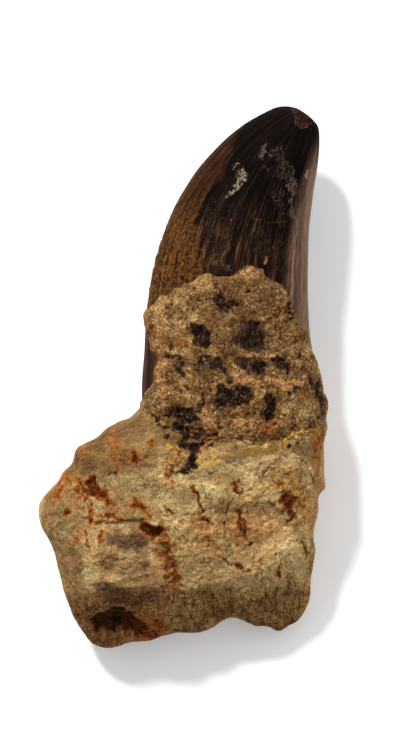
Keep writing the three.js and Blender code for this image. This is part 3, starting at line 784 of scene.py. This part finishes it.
# Open cracks, some of them dark lines painted as the shadow below a ledge: half a width, and the
# stops of the line. Ledges: how far the rock steps down on the left of a line, how far off that
# step has faded out, and the line.
crack_and_ledge_shadow_lines = [
    (0.13, (21.4, 1.8), (21.2, -1), (20.2, -4.3)),
    (0.15, (-3.6, -35.2), (-0.7, -37.7), (2.5, -41.6)),
    (0.3, (5.8, -17), (7.4, -15.6), (10.1, -14.5)),
    (0.2, (10.1, -14.5), (14.6, -15.1), (16.8, -16.3), (19.7, -16.3)),
    (0.24, (18.2, -30.7), (20, -31), (21.4, -30.5), (22.6, -31.4)),
    (0.18, (19.8, -31), (19.9, -33.2)), (0.26, (15.2, -31.3), (15.8, -30.4), (17.1, -30.6)),
    (0.24, (12.7, -29.5), (11.1, -31.4), (10.6, -34.6), (10.4, -36.6)),
    (0.22, (21.2, -22.1), (20, -23.1), (18.7, -24.4), (19, -25.4)),
    (0.2, (22.2, -24.9), (23.8, -26.4)), (0.13, (4.5, -26), (6, -29.6)),
    (0.18, (19.8, -47.7), (19.5, -50.8)), (0.2, (2, -59.4), (3.7, -62.9)),
    (0.2, (23.6, -52), (23, -56), (24.2, -59.4)), (0.16, (12.2, -52), (11.4, -56.4)),
    (0.2, (28.4, -53.6), (27.4, -57.8)), (0.18, (-21.6, -35.2), (-18.8, -35.9), (-16.6, -35.5)),
    (0.08, (-16.6, -35.5), (-12, -34.9), (-6.4, -35.4)),
    (0.16, (28.2, -19.3), (30.5, -20.9), (31.7, -23.1), (33, -26.9)),
    (0.16, (24.4, -45.4), (24.6, -47), (28.4, -51.8)), (0.14, (-21.9, -23.2), (-21.6, -26)),
    (0.16, (20.6, -52), (20.8, -57.4)), (0.16, (26.8, -50.4), (26.2, -55.6)),
]
ledge_lines = [
    (-0.6, 7, 30, -12.4, 28.2, -13.2, 22.2, -15.1, 19.7, -16.3, 16.8, -16.3, 14.6, -15.1, 10.1,
     -14.5, 6.6, -16.4, 3.4, -19.4),
    (0.7, 8, -0.5, -52, -1.2, -47, -3.4, -42.5, -5.5, -39, -7, -36, -10.9, -34.9, -17.9, -35.8,
     -21, -35.2),
    (0.2, 5, 24.5, -32.5, 22.5, -31.4, 21.4, -30.5, 20, -31, 17.1, -30.7, 15.2, -31.2, 14.4,
     -33.5, 15.4, -38),
    (0.7, 5, 26.5, -16.5, 28.2, -19.3, 30.5, -20.9, 31.7, -23.1, 33, -26.9, 34, -29.1),
    (0.35, 4, 12.7, -29.5, 11.1, -31.4, 10.6, -34.6, 10.4, -36.6),
    (0.35, 4, 21.2, -22.1, 18.7, -24.4, 19, -25.4),
    (0.55, 7, -10, -61.4, -12.5, -58.2, -16, -57.2, -20, -57, -23.4, -58.4),
    (0.6, 4, -24.2, -23.5, -24, -26.5, -24.6, -30), (0.4, 5, 28.6, -26, 30.2, -32, 30.6, -37),
]


def crust_skin():
    """The crust: proud of the tooth where rock is left, and sunk into it elsewhere."""
    sections = np.linspace(*crust_ends, crust_rings)
    turns = np.linspace(0, 2 * math.pi, crust_sides, endpoint=False)
    section, turn = (grid.ravel() for grid in np.meshgrid(sections, turns, indexing="ij"))
    spot = tooth_skin(section, turn)
    above = np.interp(np.cos(turn), *zip(*crust_line))
    below = np.sqrt(np.maximum(0, -np.sin(turn)))
    start = above + (crust_underneath - above) * below - 0.22 * crust_feather
    start = start + 0.16 * lumps(spot, 5, 11) + 0.10 * lumps(spot, 2.0, 12)
    cover = smooth(section, start, start + crust_feather)
    off_strip = np.hypot(
        (section - strip_section) / strip_sections, (turn - strip_turn) / strip_turns
    )
    kept = cover * smooth(off_strip + 0.15 * lumps(spot, 3, 13), 0.85, 1.2)
    sideways = 1 - 0.45 * np.abs(np.cos(turn)) ** 3
    thick = crust_thickness * sideways + 0.35 * lumps(spot, 6, 14) + 0.25 * lumps(spot, 3, 15)
    proud = (np.maximum(crust_least, thick) + crust_sink) * kept - crust_sink
    points = tooth_skin(section, turn, proud)
    rings = points.reshape(crust_rings, crust_sides, 3)
    first, last = rings[0].mean(axis=0)[None], rings[-1].mean(axis=0)[None]
    return np.concatenate([first, points, last]), rings_to_faces(crust_rings, crust_sides)


def soft_min(a, b):
    """The lower of two heights, rounded where they meet."""
    h = np.clip(0.5 + (b - a) / (2 * face_blend), 0, 1)
    return b + (a - b) * h - face_blend * h * (1 - h)


def block_top(spot):
    """The height of the block's top, where its faces meet and roll."""
    heights = [at + spot[:, 0] * by_x + spot[:, 1] * by_y for at, by_x, by_y in block_faces]
    heights[2] = heights[2] + fold_wander * lumps(spot * (1, 0.3, 0), 10, 26)
    top = heights[0]
    for height in heights[1:]:
        top = soft_min(top, height)
    return top + 0.9 * lumps(spot * (1, 1, 0), 13, 21) + 0.5 * lumps(spot * (1, 1, 0), 6.5, 22)


def block_skin():
    """The block: rings from its flat foot out to the waist, and over the top to its middle."""
    closed = block_outline + block_outline[:3]
    walk = through(closed)(np.linspace(1, len(block_outline) + 1, walk_steps))
    steps = np.concatenate([[0], np.cumsum(np.linalg.norm(np.diff(walk, axis=0), axis=1))])
    even = np.linspace(0, steps[-1], block_sides, endpoint=False)
    nicked = np.stack([np.interp(even, steps, walk[:, axis]) for axis in (0, 1)], axis=-1)[::-1]
    reach = range(-evening_reach, evening_reach + 1)
    evened = np.mean([np.roll(nicked, step, axis=0) for step in reach], axis=0)
    under = [(foot_share / 2, 0), (foot_share, 0)]
    under += [(share, 1) for share in np.linspace(foot_share + 0.02, 0.996, 16)]
    over = [(share, 2) for share in np.cos(np.linspace(0.02, 1.45, 30)) ** 0.8]
    rings = []
    for share, level in [*under, *over]:
        nicks = math.exp(-(((1 - share) / nick_depth) ** 2))
        edge = evened + (nicked - evened) * nicks
        edge3 = np.column_stack([edge, np.full(len(edge), 9.0)])
        stray = foot_stray * lumps(edge3, 9, 23) if level < 2 else 0.0
        wide = share + stray * (share - foot_share / 2) * (1 - share)
        flat = np.array(block_middle) + (edge - block_middle) * np.reshape(wide, (-1, 1))
        spot = np.column_stack([flat, np.zeros(len(flat))])
        top = block_top(spot)
        waist = np.minimum(waist_height + waist_wander * lumps(spot, 11, 24), top / 2)
        if level == 0:
            z = np.zeros(len(flat))
        elif level == 1:
            rise = (share - foot_share) / (1 - foot_share)
            z = waist * (rise + 1 - math.sqrt(1 - rise**2)) / 2
            z = z + 2.0 * lumps(spot + (0, 0, share * 30), 6, 25) * rise * (1 - rise)
        else:
            z = waist + (top - waist) * math.sqrt(1 - share**shoulder)
        rings.append(np.column_stack([flat, z]))
    middle = np.array([[*block_middle, 0.0]])
    crown = np.array([[*block_middle, block_top(middle)[0]]])
    return np.concatenate([middle, *rings, crown]), rings_to_faces(len(rings), block_sides)


def grown_together(name, *skins):
    """One even skin over several closed ones."""
    points, faces = [], []
    for skin_points, skin_faces in skins:
        start = sum(len(p) for p in points)
        faces += [tuple(corner + start for corner in face) for face in skin_faces]
        points.append(skin_points)
    rough = make_piece(name, np.concatenate(points), faces, {})
    remesh = rough.modifiers.new("grow", "REMESH")
    remesh.mode = "VOXEL"
    remesh.voxel_size = first_grain * mm
    evaluated = rough.evaluated_get(bpy.context.evaluated_depsgraph_get())
    mesh = bpy.data.meshes.new_from_object(evaluated)
    bpy.data.objects.remove(rough)
    return mesh


def refine_above(mesh):
    """Halves the spacing of the skin where it faces up."""
    shape = bmesh.new()
    shape.from_mesh(mesh)
    shape.normal_update()
    upward = [
        face for face in shape.faces
        if face.normal.z > fine_slope and face.calc_center_median().z > fine_from * mm
    ]
    edges = list({edge for face in upward for edge in face.edges})
    bmesh.ops.subdivide_edges(shape, edges=edges, cuts=1, use_grid_fill=True)
    bmesh.ops.triangulate(shape, faces=[face for face in shape.faces if len(face.verts) > 4])
    shape.to_mesh(mesh)
    shape.free()


def broken_faces(points, size, salt):
    """Height of a surface that broke into small tilted faces, with creases between them."""
    spot = points / size
    cell = np.floor(spot).astype(np.int64)
    highest = np.full(len(points), -9.0)
    for step in itertools.product((-1, 0, 1), repeat=3):
        at = cell + np.array(step)
        off = spot - at - hashed(at, salt)
        tilt = hashed(at, salt + 1) * 2 - 1
        height = np.sum(off * tilt, axis=-1) * 1.2 - 0.6 * np.sum(off * off, axis=-1)
        highest = np.maximum(highest, height + 0.35 * hashed(at, salt + 2)[:, 0])
    return highest


def flaked(points, size, salt):
    """How many thin layers are left on a surface that flaked: flats, with small cliffs between."""
    level = lumps(points, size, salt) + 0.3 * lumps(points, size / 3.5, salt + 1)
    level = level + 0.1 * lumps(points, size / 10, salt + 2)
    return sum(smooth(level, edge - 0.025, edge + 0.025) for edge in (-0.45, -0.1, 0.2, 0.5))


block_mesh = grown_together("rock", block_skin(), crust_skin())
refine_above(block_mesh)
count = len(block_mesh.vertices)
rock = np.empty(count * 3)
block_mesh.vertices.foreach_get("co", rock)
rock = rock.reshape(-1, 3) / mm
facing = np.empty(count * 3)
block_mesh.vertex_normals.foreach_get("vector", facing)
facing = facing.reshape(-1, 3)

shown = smooth(facing[:, 2], -0.15, 0.3) * smooth(rock[:, 2], 2, 5)
warp = np.stack([
    1.1 * lumps(rock, 3.4, salt) + 0.8 * lumps(rock, 1.5, salt + 3)
    + 0.35 * lumps(rock, 0.8, salt + 6)
    for salt in (71, 72, 73)
], axis=-1)
warped = rock + warp


def stain(strokes, elsewhere, edge=1.2):
    """The strokes on the upper side, and the wild stains on the sides and underneath."""
    return nearness(warped, strokes, edge) * shown + elsewhere * (1 - shown)


def ledges(points, lines):
    """How far down the rock steps beside the ledge lines."""
    down = np.zeros(len(points))
    for drop, reach, *path in lines:
        stops = np.array(path, float).reshape(-1, 2)
        nearest, side = np.full(len(points), 99.0), np.zeros(len(points))
        for start, stop in zip(stops, stops[1:]):
            distance, this_side = off_run(points, start, stop)
            side = np.where(distance < nearest, this_side, side)
            nearest = np.minimum(nearest, distance)
        fade = 1 - smooth(nearest, 0.2 * reach, reach)
        down += drop * smooth(side * nearest, -0.2, 0.25) * fade
    return down


rust = stain(rust_strokes, 1.4 * lumps(rock, 8, 34) + 0.8 * lumps(rock, 3, 35) - 0.5)
veil = stain(veil_strokes, 0.3 + 0.8 * lumps(rock, 12, 57), 4.0)
dark = stain(dark_strokes, 1.2 * lumps(rock, 10, 36) + 0.7 * lumps(rock, 4, 37) - 0.9)
ochre = stain(ochre_strokes, lumps(rock, 14, 38) * 1.2 - 0.6, 2.0)
green = stain(green_strokes, lumps(rock, 16, 40) * 1.2, 3.0)
pink_and_painted_light = stain(pink_and_painted_light_strokes, lumps(rock, 13, 58) * 1.2, 3.0)
umber_and_painted_shade = stain(umber_and_painted_shade_strokes, lumps(rock, 15, 79) * 1.2 - 0.2, 4.0)
violet_and_painted_shade = stain(violet_and_painted_shade_strokes, lumps(rock, 15, 59) * 1.2 - 0.3, 3.0)
end_and_painted_shade = stain(end_and_painted_shade_strokes, lumps(rock, 18, 39) * 0.8 + 0.3, 5.0)
pit = stain(hollow_strokes, lumps(rock, 9, 60) - 0.3, 1.6)
window = stain(window_strokes, -1.0)
dull_and_painted_shade = stain(dull_and_painted_shade_strokes, 0.5 + lumps(rock, 20, 74), 4.0)
crust_foot = -16 + 0.55 * np.maximum(0, 4 - rock[:, 0])
on_crust = smooth(rock[:, 1] + warp[:, 0] - crust_foot, -1.5, 1.5) * shown
on_crust = on_crust + 0.35 * (1 - shown)

# How far the rock stands off the tooth, where they are close.
far_off = 9.0
tooth_tree = BVHTree.FromPolygons(tooth_points.tolist(), tooth_faces)
off_tooth = np.full(count, far_off)
for number in np.flatnonzero(rock[:, 1] > root_point[1]):
    distance = tooth_tree.find_nearest(rock[number], far_off)[3]
    off_tooth[number] = far_off if distance is None else distance

# The relief of the broken rock, in mm, and what is sunk into it.
flat_foot = smooth(rock[:, 2], 0.2, 2.5)
edge_on = 0.4 + 0.6 * np.abs(facing[:, 2])
pits = smooth(lumps(rock, 1.9, 41) + 0.4 * lumps(rock, 0.9, 42), 0.5, 0.9)
coarse = 0.40 * lumps(rock, 8, 43) + 0.40 * (broken_faces(rock, 8.0, 44) - 0.1)
layers = 0.18 * (flaked(rock, 11, 61) - 2) + 0.08 * (flaked(rock, 4.5, 65) - 2)
middling = 0.22 * lumps(rock, 3.2, 47) + 0.34 * (broken_faces(rock, 2.6, 48) - 0.1)
fine = 0.20 * lumps(rock, 1.4, 51) + 0.15 * lumps(rock, 0.75, 52)
sunk = (
    (0.25 + 0.35 * on_crust) * pits
    + 0.55 * smooth(dark + 0.6 * lumps(rock, 1.4, 53), 0.1, 0.9)
    + 0.35 * smooth(rust + 0.5 * lumps(rock, 1.2, 56), 0.2, 0.9)
    + 1.2 * smooth(pit, 0.0, 1.0)
    + 0.5 * smooth(window + 0.6 * lumps(rock, 1.3, 54), 0.1, 0.6)
)
calm = 1 - 0.5 * smooth(green, 0.2, 0.8) * on_crust
calm = calm - 0.45 * smooth(np.maximum(pink_and_painted_light, end_and_painted_shade), 0.4, 0.9) * (1 - on_crust)
surface = (middling * (0.45 + 0.32 * on_crust) + fine * (0.75 + 0.5 * on_crust)) * calm
relief = (coarse * edge_on + layers + surface) * edge_on - sunk
relief = relief - ledges(warped, ledge_lines) * shown
relief = relief * (0.25 + 0.75 * smooth(off_tooth, 0.2, 1.3))
broken = rock + facing * (relief * flat_foot)[:, None]
highest = np.maximum(0, broken[:, 2] - rubbed_from)
broken[:, 2] = np.maximum(broken[:, 2] - rubbed_share * highest, 0)
# Painted shade: how low each place lies in the relief, which the finish darkens.
painted_low_shade = np.clip(0.5 - (surface - sunk) * 0.8, 0, 1)
front_side = smooth(rock[:, 0], 5.5, 2.0) * smooth(rock[:, 1], 14, 18)

matrix = bpy.data.objects.new("sandstone_matrix", block_mesh)
bpy.context.scene.collection.objects.link(matrix)
block_mesh.name = "sandstone_matrix"
block_mesh.vertices.foreach_set("co", (broken * mm).ravel())
block_mesh.shade_smooth()
block_mesh.update()
rock_fields = {
    "rust": rust, "veil": veil, "dark": dark, "ochre": ochre, "green": green, "pink_and_painted_light": pink_and_painted_light,
    "umber_and_painted_shade": umber_and_painted_shade, "violet_and_painted_shade": violet_and_painted_shade, "end_and_painted_shade": end_and_painted_shade, "pit": pit, "window": window, "dull_and_painted_shade": dull_and_painted_shade,
    "painted_low_shade": painted_low_shade, "crust": on_crust, "off_tooth": off_tooth, "front_side": front_side,
    "shown": shown,
}
for name, values in rock_fields.items():
    layer = block_mesh.attributes.new(name, "FLOAT", "POINT")
    layer.data.foreach_set("value", values.astype(np.float32))


def finish_sandstone(piece):
    """Tan sandstone in many tones, grainy, with ochre, rust, dark minerals and dark pits, and
    painted light and shade in its low places, on some slopes and on its end.
    """
    f = Finish("stained sandstone")
    spot = f.place()
    loose = f.jostled(spot, 1.4, 0.5)
    patches = f.noise(spot, 9, 3, 0.6)
    drift = f.noise(spot, 3.6, 4, 0.65)
    mottle = f.noise(spot, 1.4, 4, 0.7)
    grit = f.noise(spot, 0.5, 3, 0.7)
    small_grains = f.grains(loose, 0.75)
    big_grains = f.grains(loose, 1.7)
    crust = f.field("crust")

    def zone(name, low, high, most=1.0):
        """Where a tone of that name is, with a wandering edge."""
        ragged = f.blend((f.field(name), 1), (drift, 1.6), (mottle, 0.8))
        return f.step(ragged, low + 1.2, high + 1.2, most)

    def patch(place, size, low, high, most):
        """Where loose patches of that size are."""
        return f.step(f.noise(place, size, 4, 0.7), low, high, most)

    # The tones of the block, and of the crust over it.
    dull_tan = f.mix(f.step(drift, 0.42, 0.58), (126, 103, 66), (164, 123, 76))
    umber_and_painted_shade = f.mix(f.step(drift, 0.42, 0.58), (92, 64, 36), (122, 90, 54))
    block = f.coats(
        f.mix(f.step(patches, 0.40, 0.62), (224, 192, 132), (248, 220, 162)),
        (patch(spot, 2.7, 0.50, 0.60, 0.7), (190, 168, 118)),
        (patch(loose, 3.3, 0.53, 0.64, 0.55), (246, 208, 150)),
        # Partly painted light: the pink also brightens the shaded slope at the crust's foot.
        (zone("pink_and_painted_light", 0.2, 0.8, 0.9), (250, 202, 142)),
        # Partly painted shade: the dull tone darkens the left faces that lean to the lamp.
        (zone("dull_and_painted_shade", 0.1, 0.9, 0.9), dull_tan),
        (zone("green", 0.1, 0.7, 0.85), (168, 143, 98)),
        # Partly painted shade: umber darkens the lamp-facing left and the right flank.
        (zone("umber_and_painted_shade", 0.2, 1.1, 0.85), umber_and_painted_shade),
    )
    rim = f.coats(
        f.mix(f.step(drift, 0.38, 0.61), (152, 117, 76), (200, 163, 109)),
        (patch(loose, 4.2, 0.49, 0.57, 0.55), (136, 104, 62)),
        (patch(spot, 2.4, 0.54, 0.62, 0.6), (222, 186, 132)),
        (zone("green", 0.1, 0.6), (196, 164, 110)),
        (zone("pink_and_painted_light", 0.2, 0.7, 0.9), (212, 162, 112)),
    )
    # Partly painted shade: the end's darker tan stands in for the end face turned from the lamp.
    at_end = zone("end_and_painted_shade", -0.1, 0.95)
    end_tan = f.mix(f.step(patches, 0.42, 0.58), (160, 122, 78), (198, 160, 106))
    base = f.coats(
        block,
        (crust, rim),
        (zone("ochre", 0.15, 0.8, 0.85), (224, 180, 98)),
        (f.times(at_end, 0.9), end_tan),
        # Partly painted shade: the dark violet along the fold at the lower left.
        (zone("violet_and_painted_shade", -0.2, 0.5, 0.5), (196, 144, 98)),
        (zone("violet_and_painted_shade", 0.1, 0.9, 0.9), (100, 73, 54)),
        (zone("veil", 0.3, 1.0, 0.4), (188, 122, 60)),
    )

    # The grain darkens and lightens every tone, less where the crust is calm.
    block_shade = f.ramp(
        f.blend((drift, 0.25), (mottle, 0.38), (grit, 0.47)), (0.40, 104, 82, 62),
        (0.48, 182, 170, 152), (0.55, 226, 220, 210), (0.64, 255, 253, 248),
    )
    crumb = f.blend(
        (small_grains, 0.16), (big_grains, 0.06), (mottle, 0.32), (grit, 0.62), (drift, 0.18)
    )
    crust_shade = f.ramp(
        crumb, (0.49, 60, 43, 30), (0.57, 124, 104, 84), (0.65, 178, 162, 142),
        (0.75, 224, 214, 200), (0.87, 255, 250, 240),
    )
    calm_shade = f.ramp(
        crumb, (0.47, 110, 92, 74), (0.57, 170, 156, 138), (0.69, 216, 208, 196),
        (0.85, 255, 250, 240),
    )
    calm = f.sum(zone("green", 0.1, 0.6), zone("pink_and_painted_light", 0.2, 0.7, 0.6))
    calm = f.step(f.sum(calm, f.step(patches, 0.48, 0.60, 0.7)), 0.0, 1.0)
    shade = f.mix(crust, block_shade, f.mix(calm, crust_shade, calm_shade))
    shaded = f.mix(1.0, base, shade, "MULTIPLY")
    furrows = f.noise(f.place((1, 0.32, 0.32)), 1.3, 4, 0.7)
    rough_end = f.ramp(
        f.blend((furrows, 0.45), (mottle, 0.2), (grit, 0.35)), (0.39, 92, 72, 56),
        (0.46, 172, 158, 142), (0.54, 228, 222, 212), (0.63, 255, 252, 248),
    )

    # Grooves at the end, gaps between the crust's grains, fine cracks, specks and pinholes.
    grooves = f.step(f.noise(f.place((1, 0.2, 0.2)), 1.5, 3, 0.6), 0.42, 0.34, 0.6)
    grooves = f.sum(grooves, f.dots(f.jostled(spot, 2.0, 0.8), 3.4, 0.9, 0.3), 0.6)
    gaps = f.times(
        f.step(f.seams(f.jostled(spot, 0.9, 0.35), 0.95), 0.16, 0.02),
        f.step(f.sum(mottle, grit, 0.5), 0.66, 0.80),
        f.sum(0.3, crust, 0.6), f.sum(1.0, at_end, -0.5),
    )
    crackle = f.times(
        f.step(f.seams(f.jostled(spot, 2.2, 0.9), 3.4), 0.035, 0.008),
        f.step(f.noise(spot, 4.5), 0.5, 0.6, 0.4),
    )
    specks = f.sum(f.dots(loose, 1.1, 0.26, 0.14), f.times(f.dots(loose, 2.3, 0.5, 0.14), crust))
    pinholes = f.dots(f.jostled(spot, 0.8, 0.2), 0.7, 0.17, 0.12)
    flecks = f.dots(loose, 0.9, 0.22, 0.13)
    pit = f.blend((f.field("pit"), 1), (drift, 1.6), (mottle, 1.4), (grit, 0.6))
    pit_colour = f.ramp(mottle, (0.4, 34, 18, 9), (0.5, 68, 38, 18), (0.62, 112, 70, 38))
    stone = f.coats(
        shaded,
        (at_end, f.mix(1.0, shaded, rough_end, "MULTIPLY")),
        (f.times(grooves, at_end), (66, 44, 26)),
        (gaps, (58, 38, 24)),
        (crackle, (74, 50, 30)),
        (f.times(specks, 0.8), (48, 28, 16)),
        (f.times(pinholes, 0.7), (66, 42, 24)),
        (f.times(flecks, 0.55), (218, 194, 150)),
        (f.step(pit, 1.7, 2.8, 0.88), pit_colour),
    )

    # Rust: a thin veil, then a halo, the stain itself and its dark core.
    veil = f.blend((f.field("veil"), 1), (f.noise(spot, 1.3, 4, 0.75), 4), (grit, 1))
    rust = f.blend(
        (f.field("rust"), 1), (f.noise(spot, 1.2, 5, 0.75), 3), (grit, 1.5), (small_grains, 0.4),
        (1, -0.73),
    )
    halo_colour = f.ramp(grit, (0.4, 128, 70, 24), (0.6, 182, 118, 54))
    rust_colour = f.ramp(grit, (0.38, 84, 34, 9), (0.6, 142, 74, 26))
    core_colour = f.ramp(grit, (0.38, 40, 14, 6), (0.5, 76, 29, 10), (0.62, 122, 56, 22))
    rusted = f.coats(
        stone,
        (f.step(veil, 3.35, 3.9, 0.8), (130, 68, 24)),
        (f.step(rust, 1.15, 2.05, 0.72), halo_colour),
        (f.times(f.dots(loose, 0.8, 0.26, 0.4), f.step(rust, 0.6, 1.2, 0.8)), (104, 50, 18)),
        (f.step(rust, 1.75, 2.25, 0.85), rust_colour),
        (f.step(rust, 2.25, 2.65, 0.92), core_colour),
    )

    # Dark minerals with small stones and painted glints (highlights) in them, and the bone in the
    # crust's windows.
    dark = f.blend(
        (f.field("dark"), 1), (f.noise(spot, 1.1, 5, 0.75), 2.2), (grit, 0.9),
        (small_grains, 0.35), (f.noise(spot, 0.7), 1.6), (1, -0.8),
    )
    dark_mask = f.step(dark, 2.0, 2.3)
    dark_colour = f.ramp(
        f.blend((grit, 0.6), (small_grains, 0.25)), (0.30, 12, 7, 5), (0.42, 30, 19, 13),
        (0.50, 62, 42, 30), (0.58, 118, 90, 66),
    )
    stones = f.times(f.dots(loose, 1.0, 0.32, 0.22), dark_mask, 0.65)
    stone_colour = f.ramp(grit, (0.4, 84, 54, 40), (0.6, 150, 116, 92))
    streaks = f.noise(f.place((1, 0.22, 1)), 0.8, 3, 0.7)
    bone = f.blend((f.field("window"), 1), (mottle, 1.2), (grit, 0.8), (small_grains, 0.3))
    bone_colour = f.ramp(
        f.blend((streaks, 0.6), (grit, 0.4)), (0.39, 18, 11, 9), (0.49, 40, 26, 21),
        (0.57, 68, 48, 38), (0.66, 116, 90, 70),
    )
    colour = f.coats(
        rusted,
        (f.step(dark, 1.6, 2.1, 0.55), (84, 54, 33)),
        (f.times(dark_mask, 0.92), dark_colour),
        (stones, stone_colour),
        (f.step(bone, 1.0, 1.6, 0.94), bone_colour),
        # Painted glints: small pale highlights in the dark minerals.
        (f.times(f.dots(spot, 1.2, 0.22, 0.12), dark_mask), (196, 180, 164)),
    )

    # The open cracks, and dark lines painted as the shadows of ledges; painted shade in the low
    # places; and the tooth's brown where the crust thins out on it.
    wide = f.noise(spot, 1.5, 3, 0.7)
    wandering = f.jostled(f.jostled(spot, 2.4, 0.7), 0.9, 0.3)
    # Dark lines along the cracks, some of them painted shadows below ledges.
    for half_width, *stops in crack_and_ledge_shadow_lines:
        off = f.sum(f.off_line(wandering, stops), wide, -2.6 * half_width)
        line = f.step(off, -0.2 * half_width, -1.1 * half_width, 0.85)
        colour = f.mix(f.times(line, f.field("shown")), colour, (44, 28, 17))
    # Painted shade: the low places of the relief are darkened.
    low = f.step(f.field("painted_low_shade"), 0.55, 0.95, 0.75)
    thin = f.step(f.sum(f.field("off_tooth"), mottle, -1.2), -0.2, -0.55, 0.8)
    front_brown = f.ramp(grit, (0.4, 66, 38, 16), (0.6, 132, 92, 48))
    colour = f.coats(
        colour,
        (low, f.mix(1.0, colour, (124, 98, 74), "MULTIPLY")),
        (thin, f.mix(f.field("front_side"), (70, 46, 28), front_brown)),
    )

    roughness = f.sum(0.92, dark_mask, -0.1)
    relief = f.bump(f.times(mottle, f.sum(1.0, at_end, -0.5)), 0.36)
    crumbs = f.times(f.blend((grit, 0.7), (small_grains, 0.3)), f.sum(1.0, at_end, -0.3))
    f.lay_on(piece, colour, roughness, 0.04, f.bump(crumbs, 0.46, relief))


finish_sandstone(matrix)
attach(matrix, "root")
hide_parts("matrix")

# ---- The table and the light -------------------------------------------------------------------
# A plain white table top, a soft lamp from the upper left, and a bright room that is darker
# overhead.
floor_half = 3000.0  # mm
lamp_height = math.radians(39.5)
lamp_side = Vector((-0.44, 0.9, 0)).normalized()
lamp_from = lamp_side * math.cos(lamp_height) + Vector((0, 0, math.sin(lamp_height)))
lamp_strength = 4.0
lamp_softness = math.radians(8)
room_strength = 0.76
overhead_strength = 0.25
overhead_from = (0.75, 0.97)  # of the way up, over which the room darkens
room_colour = (0.988, 1, 1.01, 1)
window_side = Vector((0.45, 0.85, 0))  # how much brighter the room is towards the window
table_glow = 0.2  # of the light box under the table top

corners = np.array([(-1, -1, 0), (1, -1, 0), (1, 1, 0), (-1, 1, 0)]) * floor_half
floor = make_piece("table_top", corners, [(0, 1, 2, 3)], {})
paper = Finish("white table top")
faint = paper.noise(paper.place(), 30)
whites = paper.ramp(faint, (0.3, 241, 241, 241), (0.7, 246, 246, 246))
paper.surface.inputs["Emission Color"].default_value = (1, 1, 1, 1)
paper.surface.inputs["Emission Strength"].default_value = table_glow
paper.lay_on(floor, whites, 0.9, 0.1)

lamp = bpy.data.objects.new("lamp", bpy.data.lights.new("lamp", "SUN"))
bpy.context.scene.collection.objects.link(lamp)
lamp.rotation_mode = "QUATERNION"
lamp.rotation_quaternion = lamp_from.to_track_quat("Z", "Y")
lamp.data.energy = lamp_strength
lamp.data.angle = lamp_softness

room = Finish("room", bpy.data.worlds, "Background")
bpy.context.scene.world = room.kept_in
away = room.node("TexCoord", "Generated", {})
up = room.node("SeparateXYZ", "Z", {0: away})
level = room.step(up, *overhead_from)
level = room.blend((level, overhead_strength - room_strength), (1, room_strength))
lean = room.vector("DOT_PRODUCT", away, window_side, output="Value")
room.put(room.surface.inputs["Strength"], room.sum(level, level, lean))
room.put(room.surface.inputs["Color"], room_colour)
bpy.context.scene.view_settings.view_transform = "Standard"
